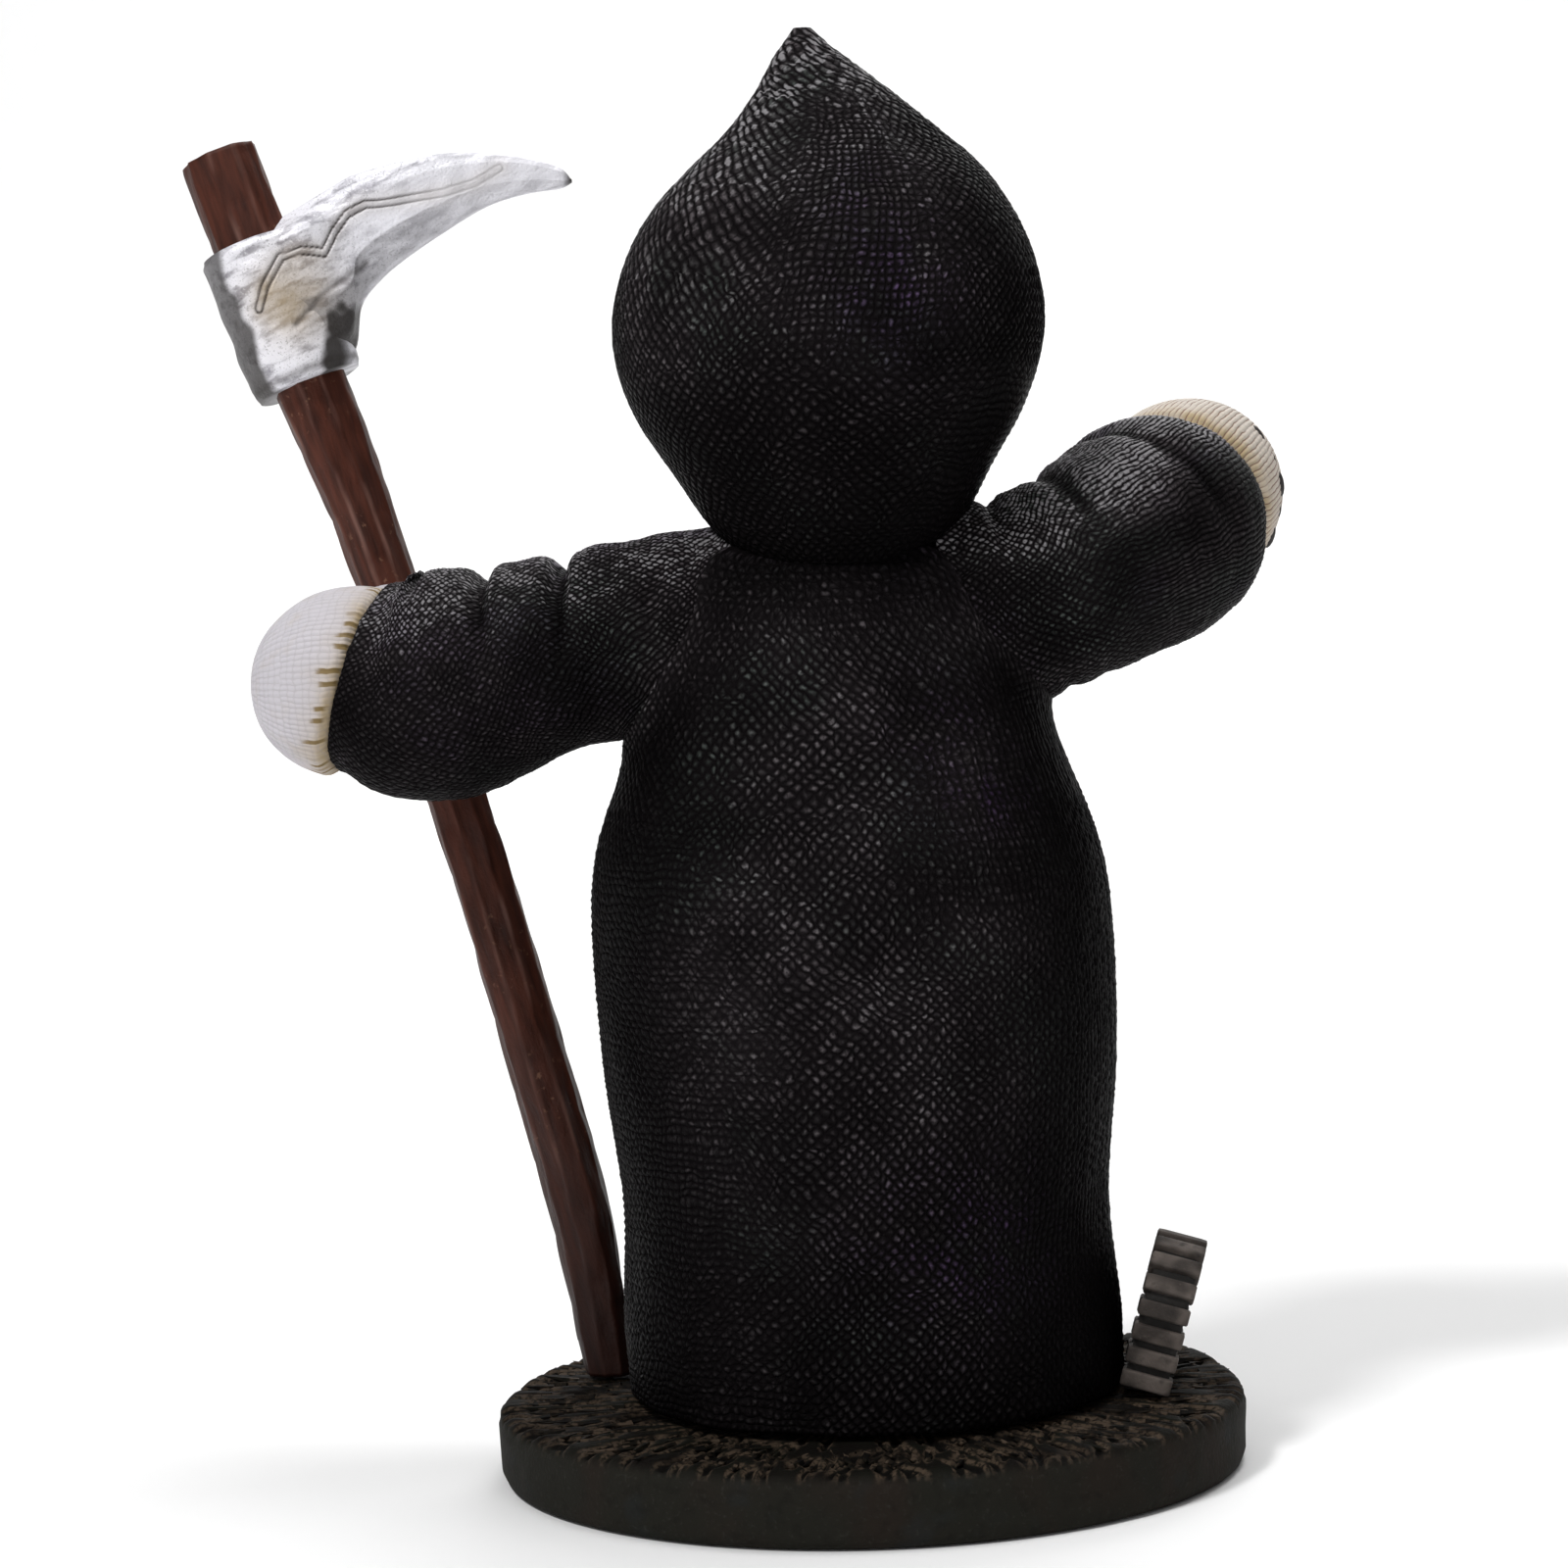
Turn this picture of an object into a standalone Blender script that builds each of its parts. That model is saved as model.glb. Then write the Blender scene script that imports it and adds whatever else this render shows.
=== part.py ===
"""Grim reaper figurine: a hooded, knitted doll with a scythe and a small gravestone on a round turf base.

Metres, +Z up, the origin at the middle of the base's underside. The figure faces -Y.
"""

import math

import bmesh
import bpy
import numpy as np

# Lengths below are worked out in millimetres and turned to metres once.
MM = 0.001

# Free gap left between pieces that touch
PIECE_GAP = 0.3 * MM

# Base
BASE_RADIUS = 34.2 * MM
BASE_THICKNESS = 6.4 * MM
BASE_EDGE = 1.2 * MM
BASE_RIM_WAVE = 0.25 * MM
TURF_RELIEF = 0.5 * MM
TURF_TUFTS = 16
# Rings of the turf as shares of the base's radius, the tufts on those beyond the seat
TURF_RING_SHARES = (0.92, 0.87, 0.82, 0.76, 0.68, 0.30)
SEAT_SHARE = 0.70
BASE_SEGMENTS = 64

# Robe
ROBE_HALF_WIDTH = 23.5 * MM
ROBE_HALF_DEPTH = 22.4 * MM
ROBE_HEIGHT = 82.0 * MM
ROBE_LEAN = 1.0 * MM
# Share of the height above which the robe leans no further
ROBE_LEAN_SHARE = 0.6
ROBE_SEGMENTS = 36
# Share of the height, share of the half width, share of the half depth
ROBE_PROFILE = (
    (0.00, 0.950, 0.985),
    (0.08, 0.962, 0.985),
    (0.21, 0.936, 0.940),
    (0.36, 0.987, 0.955),
    (0.50, 1.000, 0.955),
    (0.60, 0.965, 0.910),
    (0.71, 0.830, 0.790),
    (0.80, 0.740, 0.680),
    (0.90, 0.600, 0.580),
    (1.00, 0.470, 0.480),
)

# Hood
HOOD_HALF_WIDTH = 19.3 * MM
HOOD_HALF_DEPTH = 18.4 * MM
HOOD_HEIGHT = 48.8 * MM
HOOD_OVERLAP_SHARE = 0.10
HOOD_OFFSET = 0.6 * MM
HOOD_BACK_SAG = 3.6 * MM
# The sag at the back ends at this share of the height, and deepens the hood by this share
HOOD_SAG_END_SHARE = 0.35
HOOD_SAG_DEPTH_SHARE = 0.10
HOOD_SEGMENTS = 34
# Share of the height, share of the half width, sideways shift as a share of the half width
HOOD_PROFILE = (
    (0.00, 0.360, 0.030),
    (0.10, 0.595, 0.020),
    (0.20, 0.755, 0.030),
    (0.29, 0.893, 0.033),
    (0.38, 0.977, 0.035),
    (0.48, 1.000, 0.030),
    (0.59, 0.940, 0.020),
    (0.68, 0.820, 0.010),
    (0.75, 0.665, -0.005),
    (0.82, 0.465, 0.000),
    (0.89, 0.295, 0.035),
    (0.95, 0.165, 0.080),
    (1.00, 0.040, 0.105),
)

# Face opening of the hood and the face in it
OPENING_HALF_WIDTH = 12.4 * MM
OPENING_HALF_HEIGHT = 14.6 * MM
OPENING_HEIGHT_SHARE = 0.42
OPENING_DEPTH = 11.0 * MM
OPENING_RIM = 1.3 * MM
OPENING_SEGMENTS = 32
RIM_SIDES = 6
FACE_HALF_DEPTH = 9.0 * MM
FACE_RECESS = 1.8 * MM
FACE_CLEARANCE = 0.8 * MM
FACE_SEGMENTS = 24
FACE_RINGS = 10
EYE_HALF_WIDTH = 3.4 * MM
EYE_HALF_HEIGHT = 4.0 * MM
EYE_SPREAD = 5.2 * MM
EYE_RISE = 1.6 * MM
EYE_DEPTH = 1.5 * MM
EYE_TURN_SHARE = 0.35
EYE_SEGMENTS = 14
EYE_RINGS = 6
NOSE_RADIUS = 1.2 * MM
NOSE_DROP = 3.4 * MM
NOSE_SEGMENTS = 10
NOSE_RINGS = 6

# Sleeves
SLEEVE_RADIUS = 9.7 * MM
SLEEVE_SEGMENTS = 22
SLEEVE_RINGS = 21
CUFF_ROLL = 0.5 * MM
SCYTHE_ARM_REACH = 43.4 * MM
SCYTHE_ARM_FORWARD = 5.6 * MM
SCYTHE_ARM_HEIGHT = 77.0 * MM
SCYTHE_ARM_DROP = 4.9 * MM
RAISED_ARM_REACH = 30.6 * MM
RAISED_ARM_FORWARD = 14.6 * MM
RAISED_ARM_HEIGHT = 78.0 * MM
RAISED_ARM_RISE = 7.4 * MM
# Share of the reach, of the forward push, of the rise or drop, and of the radius
SCYTHE_SLEEVE = (
    (0.15, 0.00, 0.00, 0.90),
    (0.34, 0.06, 0.04, 0.88),
    (0.50, 0.20, 0.22, 0.88),
    (0.66, 0.45, 0.58, 0.95),
    (0.82, 0.68, 0.94, 1.09),
    (0.92, 0.87, 1.00, 1.06),
    (1.00, 1.00, 0.80, 0.93),
)
RAISED_SLEEVE = (
    (0.25, 0.00, 0.00, 0.98),
    (0.55, 0.10, 0.12, 0.96),
    (0.78, 0.26, 0.50, 1.02),
    (0.91, 0.54, 0.76, 1.08),
    (0.96, 0.78, 0.88, 1.04),
    (1.00, 1.00, 1.00, 0.90),
)
# Creases: share of the way along, width as a share, depth as a share of the radius, angle
SCYTHE_CREASES = (
    (0.45, 0.032, 0.30, 80.0),
    (0.64, 0.036, 0.26, 95.0),
    (0.83, 0.035, 0.14, 140.0),
)
RAISED_CREASES = (
    (0.20, 0.050, 0.26, 60.0),
    (0.50, 0.050, 0.20, 75.0),
    (0.72, 0.040, 0.12, 110.0),
)

# Hands
HAND_RADIUS = 8.9 * MM
SCYTHE_HAND_REACH = 9.8 * MM
SCYTHE_HAND_LEAD = 1.3 * MM
SCYTHE_HAND_DROP = 0.7 * MM
RAISED_HAND_REACH = 9.6 * MM
RAISED_HAND_LEAD = 3.6 * MM
# The raised hand turns outwards and up from the way its cuff faces
RAISED_HAND_TURN = (-0.15, 0.0, 0.12)
FIST_HALF_WIDTH = 8.0 * MM
FIST_HALF_DEPTH = 7.4 * MM
FIST_HALF_HEIGHT = 8.2 * MM
# Shares of the way from the shaft back to the cuff
FIST_SHIFT_SHARES = (0.25, 0.12, 0.0)
HAND_SEGMENTS = 20
HAND_RINGS = 10

# Scythe shaft
SHAFT_RADIUS = 3.1 * MM
SHAFT_SIDES = 9
SHAFT_TOP = 121.6 * MM
SHAFT_FOOT_X = 24.3 * MM
SHAFT_TOP_X = 57.3 * MM
SHAFT_FOOT_FORWARD = 8.6 * MM
SHAFT_TOP_FORWARD = 22.0 * MM
SHAFT_WHITTLE_SHARE = 0.05
WHITTLE_FLATS = 3
WHITTLE_TWIST = 14
SHAFT_CLEARANCE = 0.3 * MM
# Share of the height, share of the sideways run, share of the radius
SHAFT_PATH = (
    (0.000, 0.000, 0.74),
    (0.127, 0.064, 0.93),
    (0.271, 0.196, 0.935),
    (0.447, 0.357, 0.92),
    (0.672, 0.591, 0.95),
    (0.785, 0.731, 1.13),
    (0.900, 0.880, 1.20),
    (1.000, 1.000, 1.21),
)
SOCKET_RADIUS = 5.3 * MM
SOCKET_START_SHARE = 0.810
SOCKET_END_SHARE = 0.925
SOCKET_SIDES = 16

# Blade: reach from the shaft's axis, and its outline as shares of that reach
BLADE_REACH = 28.9 * MM
BLADE_ROOT_THICKNESS = 5.0 * MM
BLADE_TIP_THICKNESS = 1.5 * MM
BLADE_EDGE_THICKNESS = 0.7 * MM
# The bevel's and the ridge's shares of the way from the back, and half thicknesses as shares
BLADE_BEVEL_SHARE = 0.62
BLADE_RIDGE_SHARE = 0.30
BLADE_BACK_HALF_SHARE = 0.36
BLADE_RIDGE_HALF_SHARE = 0.50
BLADE_BEVEL_HALF_SHARE = 0.46
BLADE_MOUNT_HEIGHT = 109.5 * MM
# Share of the reach, then the heights of the back and of the edge over the mount height, as shares
BLADE_OUTLINE = (
    (-0.02, 0.165, -0.240),
    (0.10, 0.235, -0.245),
    (0.265, 0.325, -0.240),
    (0.30, 0.338, -0.090),
    (0.36, 0.355, -0.010),
    (0.45, 0.376, 0.062),
    (0.58, 0.395, 0.143),
    (0.72, 0.394, 0.220),
    (0.85, 0.376, 0.257),
    (0.96, 0.340, 0.270),
    (1.00, 0.300, 0.288),
)

# Gravestone
STONE_THICKNESS = 4.6 * MM
STONE_WIDTH = 14.0 * MM
STONE_HEIGHT = 13.6 * MM
STONE_LEAN = 16.0
STONE_TURN = 6.0
# From the robe's widest side to the middle of the stone's foot
STONE_GAP = 1.4 * MM
STONE_Y = 1.6 * MM
STONE_COURSES = 5
STONE_JOINT_DEPTH = 0.55 * MM
STONE_JOINT_SHARE = 0.16
STONE_BORDER = 1.9 * MM
STONE_PANEL_DEPTH = 0.5 * MM
STONE_ARCH_STONES = 7
# The chamfer and the panel's slope as shares of the border, the edge band as one of the thickness
STONE_CHAMFER_SHARE = 0.12
STONE_SLOPE_SHARE = 1.15
STONE_BAND_SHARE = 0.86

SEAT_HEIGHT = BASE_THICKNESS + TURF_RELIEF + PIECE_GAP
STONE_X = -(ROBE_HALF_WIDTH + STONE_GAP)


def smooth(stations, steps):
    """A Catmull-Rom curve through the stations, each a row of numbers, with steps points per span."""
    rows = np.array(stations, float)
    before = np.vstack([2 * rows[0] - rows[1], rows, 2 * rows[-1] - rows[-2]])
    found = []
    for index in range(len(rows) - 1):
        first, second, third, fourth = before[index : index + 4]
        for step in range(steps):
            t = step / steps
            found.append(
                0.5
                * (
                    2 * second
                    + (third - first) * t
                    + (2 * first - 5 * second + 4 * third - fourth) * t * t
                    + (3 * second - first - 3 * third + fourth) * t * t * t
                )
            )
    found.append(rows[-1])
    return np.array(found)


def at_share(curve, share):
    """The row of the curve where its first column is the share, by straight lines between its points."""
    return np.array([np.interp(share, curve[:, 0], curve[:, k]) for k in range(curve.shape[1])])


def make_object(name, points, faces):
    """A mesh object from points and faces, its faces turned outwards."""
    mesh = bpy.data.meshes.new(name)
    mesh.from_pydata([tuple(map(float, p)) for p in points], [], faces)
    edit = bmesh.new()
    edit.from_mesh(mesh)
    bmesh.ops.recalc_face_normals(edit, faces=edit.faces)
    edit.to_mesh(mesh)
    edit.free()
    made = bpy.data.objects.new(name, mesh)
    bpy.context.scene.collection.objects.link(made)
    return made


def loft(name, rings):
    """A closed body through rings of equally many points, its two ends closed by a point each."""
    count = len(rings[0])
    points = [p for ring in rings for p in ring]
    points.append(np.mean(rings[0], axis=0))
    points.append(np.mean(rings[-1], axis=0))
    faces = []
    for ring in range(len(rings) - 1):
        for k in range(count):
            here, there = ring * count, (ring + 1) * count
            after = (k + 1) % count
            faces.append((here + k, here + after, there + after, there + k))
    last = (len(rings) - 1) * count
    start_cap = len(points) - 2
    end_cap = len(points) - 1
    for k in range(count):
        after = (k + 1) % count
        faces.append((start_cap, after, k))
        faces.append((end_cap, last + k, last + after))
    return make_object(name, points, faces)


def combine(target, other, operation):
    """Joins the other mesh to the target, or cuts it away, and removes the other."""
    modifier = target.modifiers.new("combine", "BOOLEAN")
    modifier.operation = operation
    modifier.solver = "EXACT"
    modifier.object = other
    graph = bpy.context.evaluated_depsgraph_get()
    graph.update()
    result = bpy.data.meshes.new_from_object(target.evaluated_get(graph))
    target.modifiers.remove(modifier)
    old = target.data
    target.data = result
    bpy.data.meshes.remove(old)
    bpy.data.objects.remove(other)


def finish(made, name, colour, roughness, metallic=0.0, sharp=35.0):
    """Names the object, smooths its round faces and gives it its own material."""
    made.name = name
    made.data.name = name
    material = bpy.data.materials.new(name)
    material.use_nodes = True
    shader = material.node_tree.nodes["Principled BSDF"]
    shader.inputs["Base Color"].default_value = (*colour, 1.0)
    shader.inputs["Roughness"].default_value = roughness
    shader.inputs["Metallic"].default_value = metallic
    made.data.materials.clear()
    made.data.materials.append(material)
    made.data.shade_smooth()
    made.data.set_sharp_from_angle(angle=math.radians(sharp))


def oval(name, centre, radii, segments, rings, blunt=1.0, forward=(0.0, 0.0, 1.0)):
    """A rounded body about the centre, its third radius along the forward direction."""
    forward = np.array(forward) / np.linalg.norm(forward)
    side = np.cross((0.0, 0.0, 1.0), forward)
    if np.linalg.norm(side) < 0.01:
        side = np.array((1.0, 0.0, 0.0))
    side = side / np.linalg.norm(side)
    up = np.cross(forward, side)
    found = []
    for ring in range(1, rings):
        polar = math.pi * ring / rings
        wide = math.sin(polar) ** blunt
        along = -math.cos(polar) * radii[2]
        found.append(
            [
                np.array(centre)
                + forward * along
                + side * (radii[0] * wide * math.cos(turn))
                + up * (radii[1] * wide * math.sin(turn))
                for turn in np.linspace(0, 2 * math.pi, segments, endpoint=False)
            ]
        )
    made = loft(name, found)
    tip = np.array(centre) + forward * radii[2]
    tail = np.array(centre) - forward * radii[2]
    made.data.vertices[-2].co = tail
    made.data.vertices[-1].co = tip
    return made


def tube_rings(path, radii, segments, creases):
    """Rings of a tube along the path, with creases pressed in, and the way that its end faces."""
    rings = []
    side = np.array((0.0, 0.0, 1.0))
    for index, centre in enumerate(path):
        way = path[min(index + 1, len(path) - 1)] - path[max(index - 1, 0)]
        way = way / np.linalg.norm(way)
        side = side - way * side.dot(way)
        side = side / np.linalg.norm(side)
        across = np.cross(way, side)
        share = index / (len(path) - 1)
        ring = []
        for turn in np.linspace(0, 2 * math.pi, segments, endpoint=False):
            radius = radii[index]
            for place, width, depth, angle in creases:
                near = math.exp(-(((share - place) / width) ** 2))
                facing = max(0.0, math.cos(turn - math.radians(angle - 90.0)))
                radius *= 1.0 - depth * near * math.sqrt(facing)
            ring.append(centre + radius * (math.cos(turn) * side + math.sin(turn) * across))
        rings.append(ring)
    return rings, way


def make_base():
    """The round turf base, with a flat underside and a ring of low tufts round the seat."""
    segments = BASE_SEGMENTS
    edge = BASE_EDGE
    side = [
        (BASE_RADIUS - edge, 0.0),
        (BASE_RADIUS - 0.3 * edge, 0.25 * edge),
        (BASE_RADIUS, edge),
        (BASE_RADIUS, BASE_THICKNESS - edge),
        (BASE_RADIUS - 0.25 * edge, BASE_THICKNESS - 0.25 * edge),
        (BASE_RADIUS - 0.9 * edge, BASE_THICKNESS),
    ]
    rings = []
    for radius, height in side:
        ring = []
        for turn in np.linspace(0, 2 * math.pi, segments, endpoint=False):
            wave = BASE_RIM_WAVE * (0.6 * math.sin(5 * turn + 0.7) + 0.4 * math.sin(11 * turn))
            wave = wave * height / BASE_THICKNESS - BASE_RIM_WAVE
            ring.append(
                ((radius + wave) * math.cos(turn), (radius + wave) * math.sin(turn), height)
            )
        rings.append(ring)
    for index, share in enumerate(TURF_RING_SHARES):
        ring = []
        for step in range(segments):
            turn = 2 * math.pi * step / segments
            comb = 0.5 + 0.5 * math.cos(TURF_TUFTS * turn + 2.1 * index)
            lift = TURF_RELIEF * comb if share > SEAT_SHARE else 0.0
            radius = share * BASE_RADIUS
            ring.append((radius * math.cos(turn), radius * math.sin(turn), BASE_THICKNESS + lift))
        rings.append(ring)
    made = loft("base", rings)
    finish(made, "base", (0.045, 0.042, 0.034), 0.85, sharp=40.0)
    return made


def robe_rings():
    rings = []
    for height, width, depth in smooth(ROBE_PROFILE, 2):
        shift = ROBE_LEAN * (min(1.0, height / ROBE_LEAN_SHARE) - 0.5)
        rings.append(
            [
                (
                    shift + ROBE_HALF_WIDTH * width * math.cos(turn),
                    ROBE_HALF_DEPTH * depth * math.sin(turn),
                    SEAT_HEIGHT + ROBE_HEIGHT * height,
                )
                for turn in np.linspace(0, 2 * math.pi, ROBE_SEGMENTS, endpoint=False)
            ]
        )
    return rings


def hood_section(share):
    """Half width, half depth, centre X, centre Y and height of the hood at a share of its height."""
    curve = smooth(HOOD_PROFILE, 6)
    _, width, shift = at_share(curve, share)
    sag = max(0.0, 1.0 - share / HOOD_SAG_END_SHARE) ** 1.5
    bottom = SEAT_HEIGHT + ROBE_HEIGHT * (1.0 - HOOD_OVERLAP_SHARE)
    return (
        HOOD_HALF_WIDTH * width,
        HOOD_HALF_DEPTH * width * (1.0 + HOOD_SAG_DEPTH_SHARE * sag),
        HOOD_HALF_WIDTH * shift,
        HOOD_BACK_SAG * sag,
        bottom + HOOD_HEIGHT * share,
    )


def hood_rings():
    rings = []
    for share, _, _ in smooth(HOOD_PROFILE, 2):
        wide, deep, middle_x, middle_y, height = hood_section(share)
        rings.append(
            [
                (middle_x + wide * math.cos(turn), middle_y + deep * math.sin(turn), height)
                for turn in np.linspace(0, 2 * math.pi, HOOD_SEGMENTS, endpoint=False)
            ]
        )
    return rings


def hood_front(x, z):
    """The Y of the hood's front at a place seen from the front."""
    bottom = SEAT_HEIGHT + ROBE_HEIGHT * (1.0 - HOOD_OVERLAP_SHARE)
    wide, deep, middle_x, middle_y, _ = hood_section((z - bottom) / HOOD_HEIGHT)
    off = min(1.0, abs(x - middle_x) / wide)
    return middle_y - deep * math.sqrt(1.0 - off * off)


def add_face(figure):
    """Opens the hood, rolls its edge and sets a plain doll's face in it."""
    middle_x = HOOD_OFFSET
    bottom = SEAT_HEIGHT + ROBE_HEIGHT * (1.0 - HOOD_OVERLAP_SHARE)
    middle_z = bottom + HOOD_HEIGHT * OPENING_HEIGHT_SHARE
    turns = np.linspace(0, 2 * math.pi, OPENING_SEGMENTS, endpoint=False)
    edge = [
        (
            middle_x + OPENING_HALF_WIDTH * math.cos(turn),
            middle_z + OPENING_HALF_HEIGHT * math.sin(turn),
        )
        for turn in turns
    ]
    deepest = -HOOD_HALF_DEPTH + OPENING_DEPTH
    outside = -2.0 * HOOD_HALF_DEPTH
    cutter = loft(
        "opening",
        [[(x, outside, z) for x, z in edge], [(x, deepest, z) for x, z in edge]],
    )
    combine(figure, cutter, "DIFFERENCE")

    ring_points = []
    for (x, z), turn in zip(edge, turns):
        outward = np.array((math.cos(turn), 0.0, math.sin(turn)))
        centre = np.array((x, hood_front(x, z) + 0.2 * OPENING_RIM, z))
        ring_points.append(
            [
                centre
                + OPENING_RIM
                * (math.cos(k) * outward + math.sin(k) * np.array((0.0, 1.0, 0.0)))
                for k in np.linspace(0, 2 * math.pi, RIM_SIDES, endpoint=False)
            ]
        )
    points = [p for ring in ring_points for p in ring]
    faces = []
    for ring in range(OPENING_SEGMENTS):
        after = (ring + 1) % OPENING_SEGMENTS
        for k in range(RIM_SIDES):
            here, there = ring * RIM_SIDES, after * RIM_SIDES
            beside = (k + 1) % RIM_SIDES
            faces.append((here + k, here + beside, there + beside, there + k))
    combine(figure, make_object("rim", points, faces), "UNION")

    front = -HOOD_HALF_DEPTH + FACE_RECESS
    face_y = front + FACE_HALF_DEPTH
    face = oval(
        "face",
        (middle_x, face_y, middle_z),
        (
            OPENING_HALF_WIDTH - FACE_CLEARANCE,
            OPENING_HALF_HEIGHT - FACE_CLEARANCE,
            FACE_HALF_DEPTH,
        ),
        FACE_SEGMENTS,
        FACE_RINGS,
        forward=(0.0, -1.0, 0.0),
    )
    for side in (-1, 1):
        x = middle_x + side * EYE_SPREAD
        off = (
            (EYE_SPREAD / (OPENING_HALF_WIDTH - FACE_CLEARANCE)) ** 2
            + (EYE_RISE / (OPENING_HALF_HEIGHT - FACE_CLEARANCE)) ** 2
        )
        y = face_y - FACE_HALF_DEPTH * math.sqrt(max(0.0, 1.0 - off))
        eye = oval(
            "eye",
            (x, y, middle_z + EYE_RISE),
            (EYE_HALF_WIDTH, EYE_HALF_HEIGHT, EYE_DEPTH),
            EYE_SEGMENTS,
            EYE_RINGS,
            forward=(side * EYE_TURN_SHARE, -1.0, 0.0),
        )
        combine(face, eye, "DIFFERENCE")
    nose = oval(
        "nose",
        (middle_x, front, middle_z - NOSE_DROP),
        (NOSE_RADIUS, 1.3 * NOSE_RADIUS, NOSE_RADIUS),
        NOSE_SEGMENTS,
        NOSE_RINGS,
        forward=(0.0, -1.0, 0.0),
    )
    combine(face, nose, "DIFFERENCE")
    combine(figure, face, "UNION")


def sleeve_path(stations, reach, forward, height, rise):
    """Centres and radii of a sleeve from shoulder to cuff."""
    curve = smooth(stations, 5)
    path = np.stack(
        [curve[:, 0] * reach, -curve[:, 1] * forward, height + curve[:, 2] * rise], axis=1
    )
    steps = np.linalg.norm(np.diff(path, axis=0), axis=1)
    run = np.concatenate([[0.0], np.cumsum(steps)])
    even = np.linspace(0.0, run[-1], SLEEVE_RINGS)
    path = np.stack([np.interp(even, run, path[:, k]) for k in range(3)], axis=1)
    radii = np.interp(even, run, curve[:, 3]) * SLEEVE_RADIUS
    return path, radii


def add_sleeve(figure, path, radii, creases):
    """Joins a sleeve with a rolled cuff, and says where the cuff is and which way it faces."""
    rings, way = tube_rings(path, radii, SLEEVE_SEGMENTS, creases)
    inner = 1.0 - CUFF_ROLL / radii[-1]
    rim = [path[-1] + (p - path[-1]) * inner + way * CUFF_ROLL for p in rings[-1]]
    combine(figure, loft("sleeve", rings + [rim]), "UNION")
    return path[-1], way


def scythe_sleeve_path():
    return sleeve_path(
        SCYTHE_SLEEVE,
        SCYTHE_ARM_REACH,
        SCYTHE_ARM_FORWARD,
        SCYTHE_ARM_HEIGHT,
        -SCYTHE_ARM_DROP,
    )


def raised_sleeve_path():
    return sleeve_path(
        RAISED_SLEEVE,
        -RAISED_ARM_REACH,
        RAISED_ARM_FORWARD,
        RAISED_ARM_HEIGHT,
        RAISED_ARM_RISE,
    )


def shaft_place(share, run):
    """The shaft's centre at a share of its height, its sideways run given as a share too."""
    forward = SHAFT_FOOT_FORWARD + (SHAFT_TOP_FORWARD - SHAFT_FOOT_FORWARD) * share
    x = SHAFT_FOOT_X + (SHAFT_TOP_X - SHAFT_FOOT_X) * run
    return np.array((x, -forward, SEAT_HEIGHT + (SHAFT_TOP - SEAT_HEIGHT) * share))


def shaft_point(share):
    """The shaft's centre at a share of its height, and its direction there."""
    curve = smooth(SHAFT_PATH, 6)
    low, here, high = (
        shaft_place(place, at_share(curve, place)[1])
        for place in (share - 0.02, share, share + 0.02)
    )
    way = high - low
    return here, way / np.linalg.norm(way)


def shaft_rings(extra=0.0):
    """Rings of the whittled shaft from its level foot to its square top, each side a flat."""
    rings = []
    for share, run, size in smooth(SHAFT_PATH, 3):
        centre = shaft_place(share, run)
        way = shaft_point(min(0.98, max(0.02, share)))[1] if share > 0.03 else np.array((0, 0, 1.0))
        side = np.cross((0.0, 1.0, 0.0), way)
        side = side / np.linalg.norm(side)
        across = np.cross(way, side)
        ring = []
        for turn in np.linspace(0, 2 * math.pi, SHAFT_SIDES, endpoint=False):
            cut = 1.0 + SHAFT_WHITTLE_SHARE * math.sin(WHITTLE_FLATS * turn + WHITTLE_TWIST * share)
            radius = SHAFT_RADIUS * size * cut + extra
            ring.append(centre + radius * (math.cos(turn) * side + math.sin(turn) * across))
        rings.append(ring)
    return rings


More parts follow.
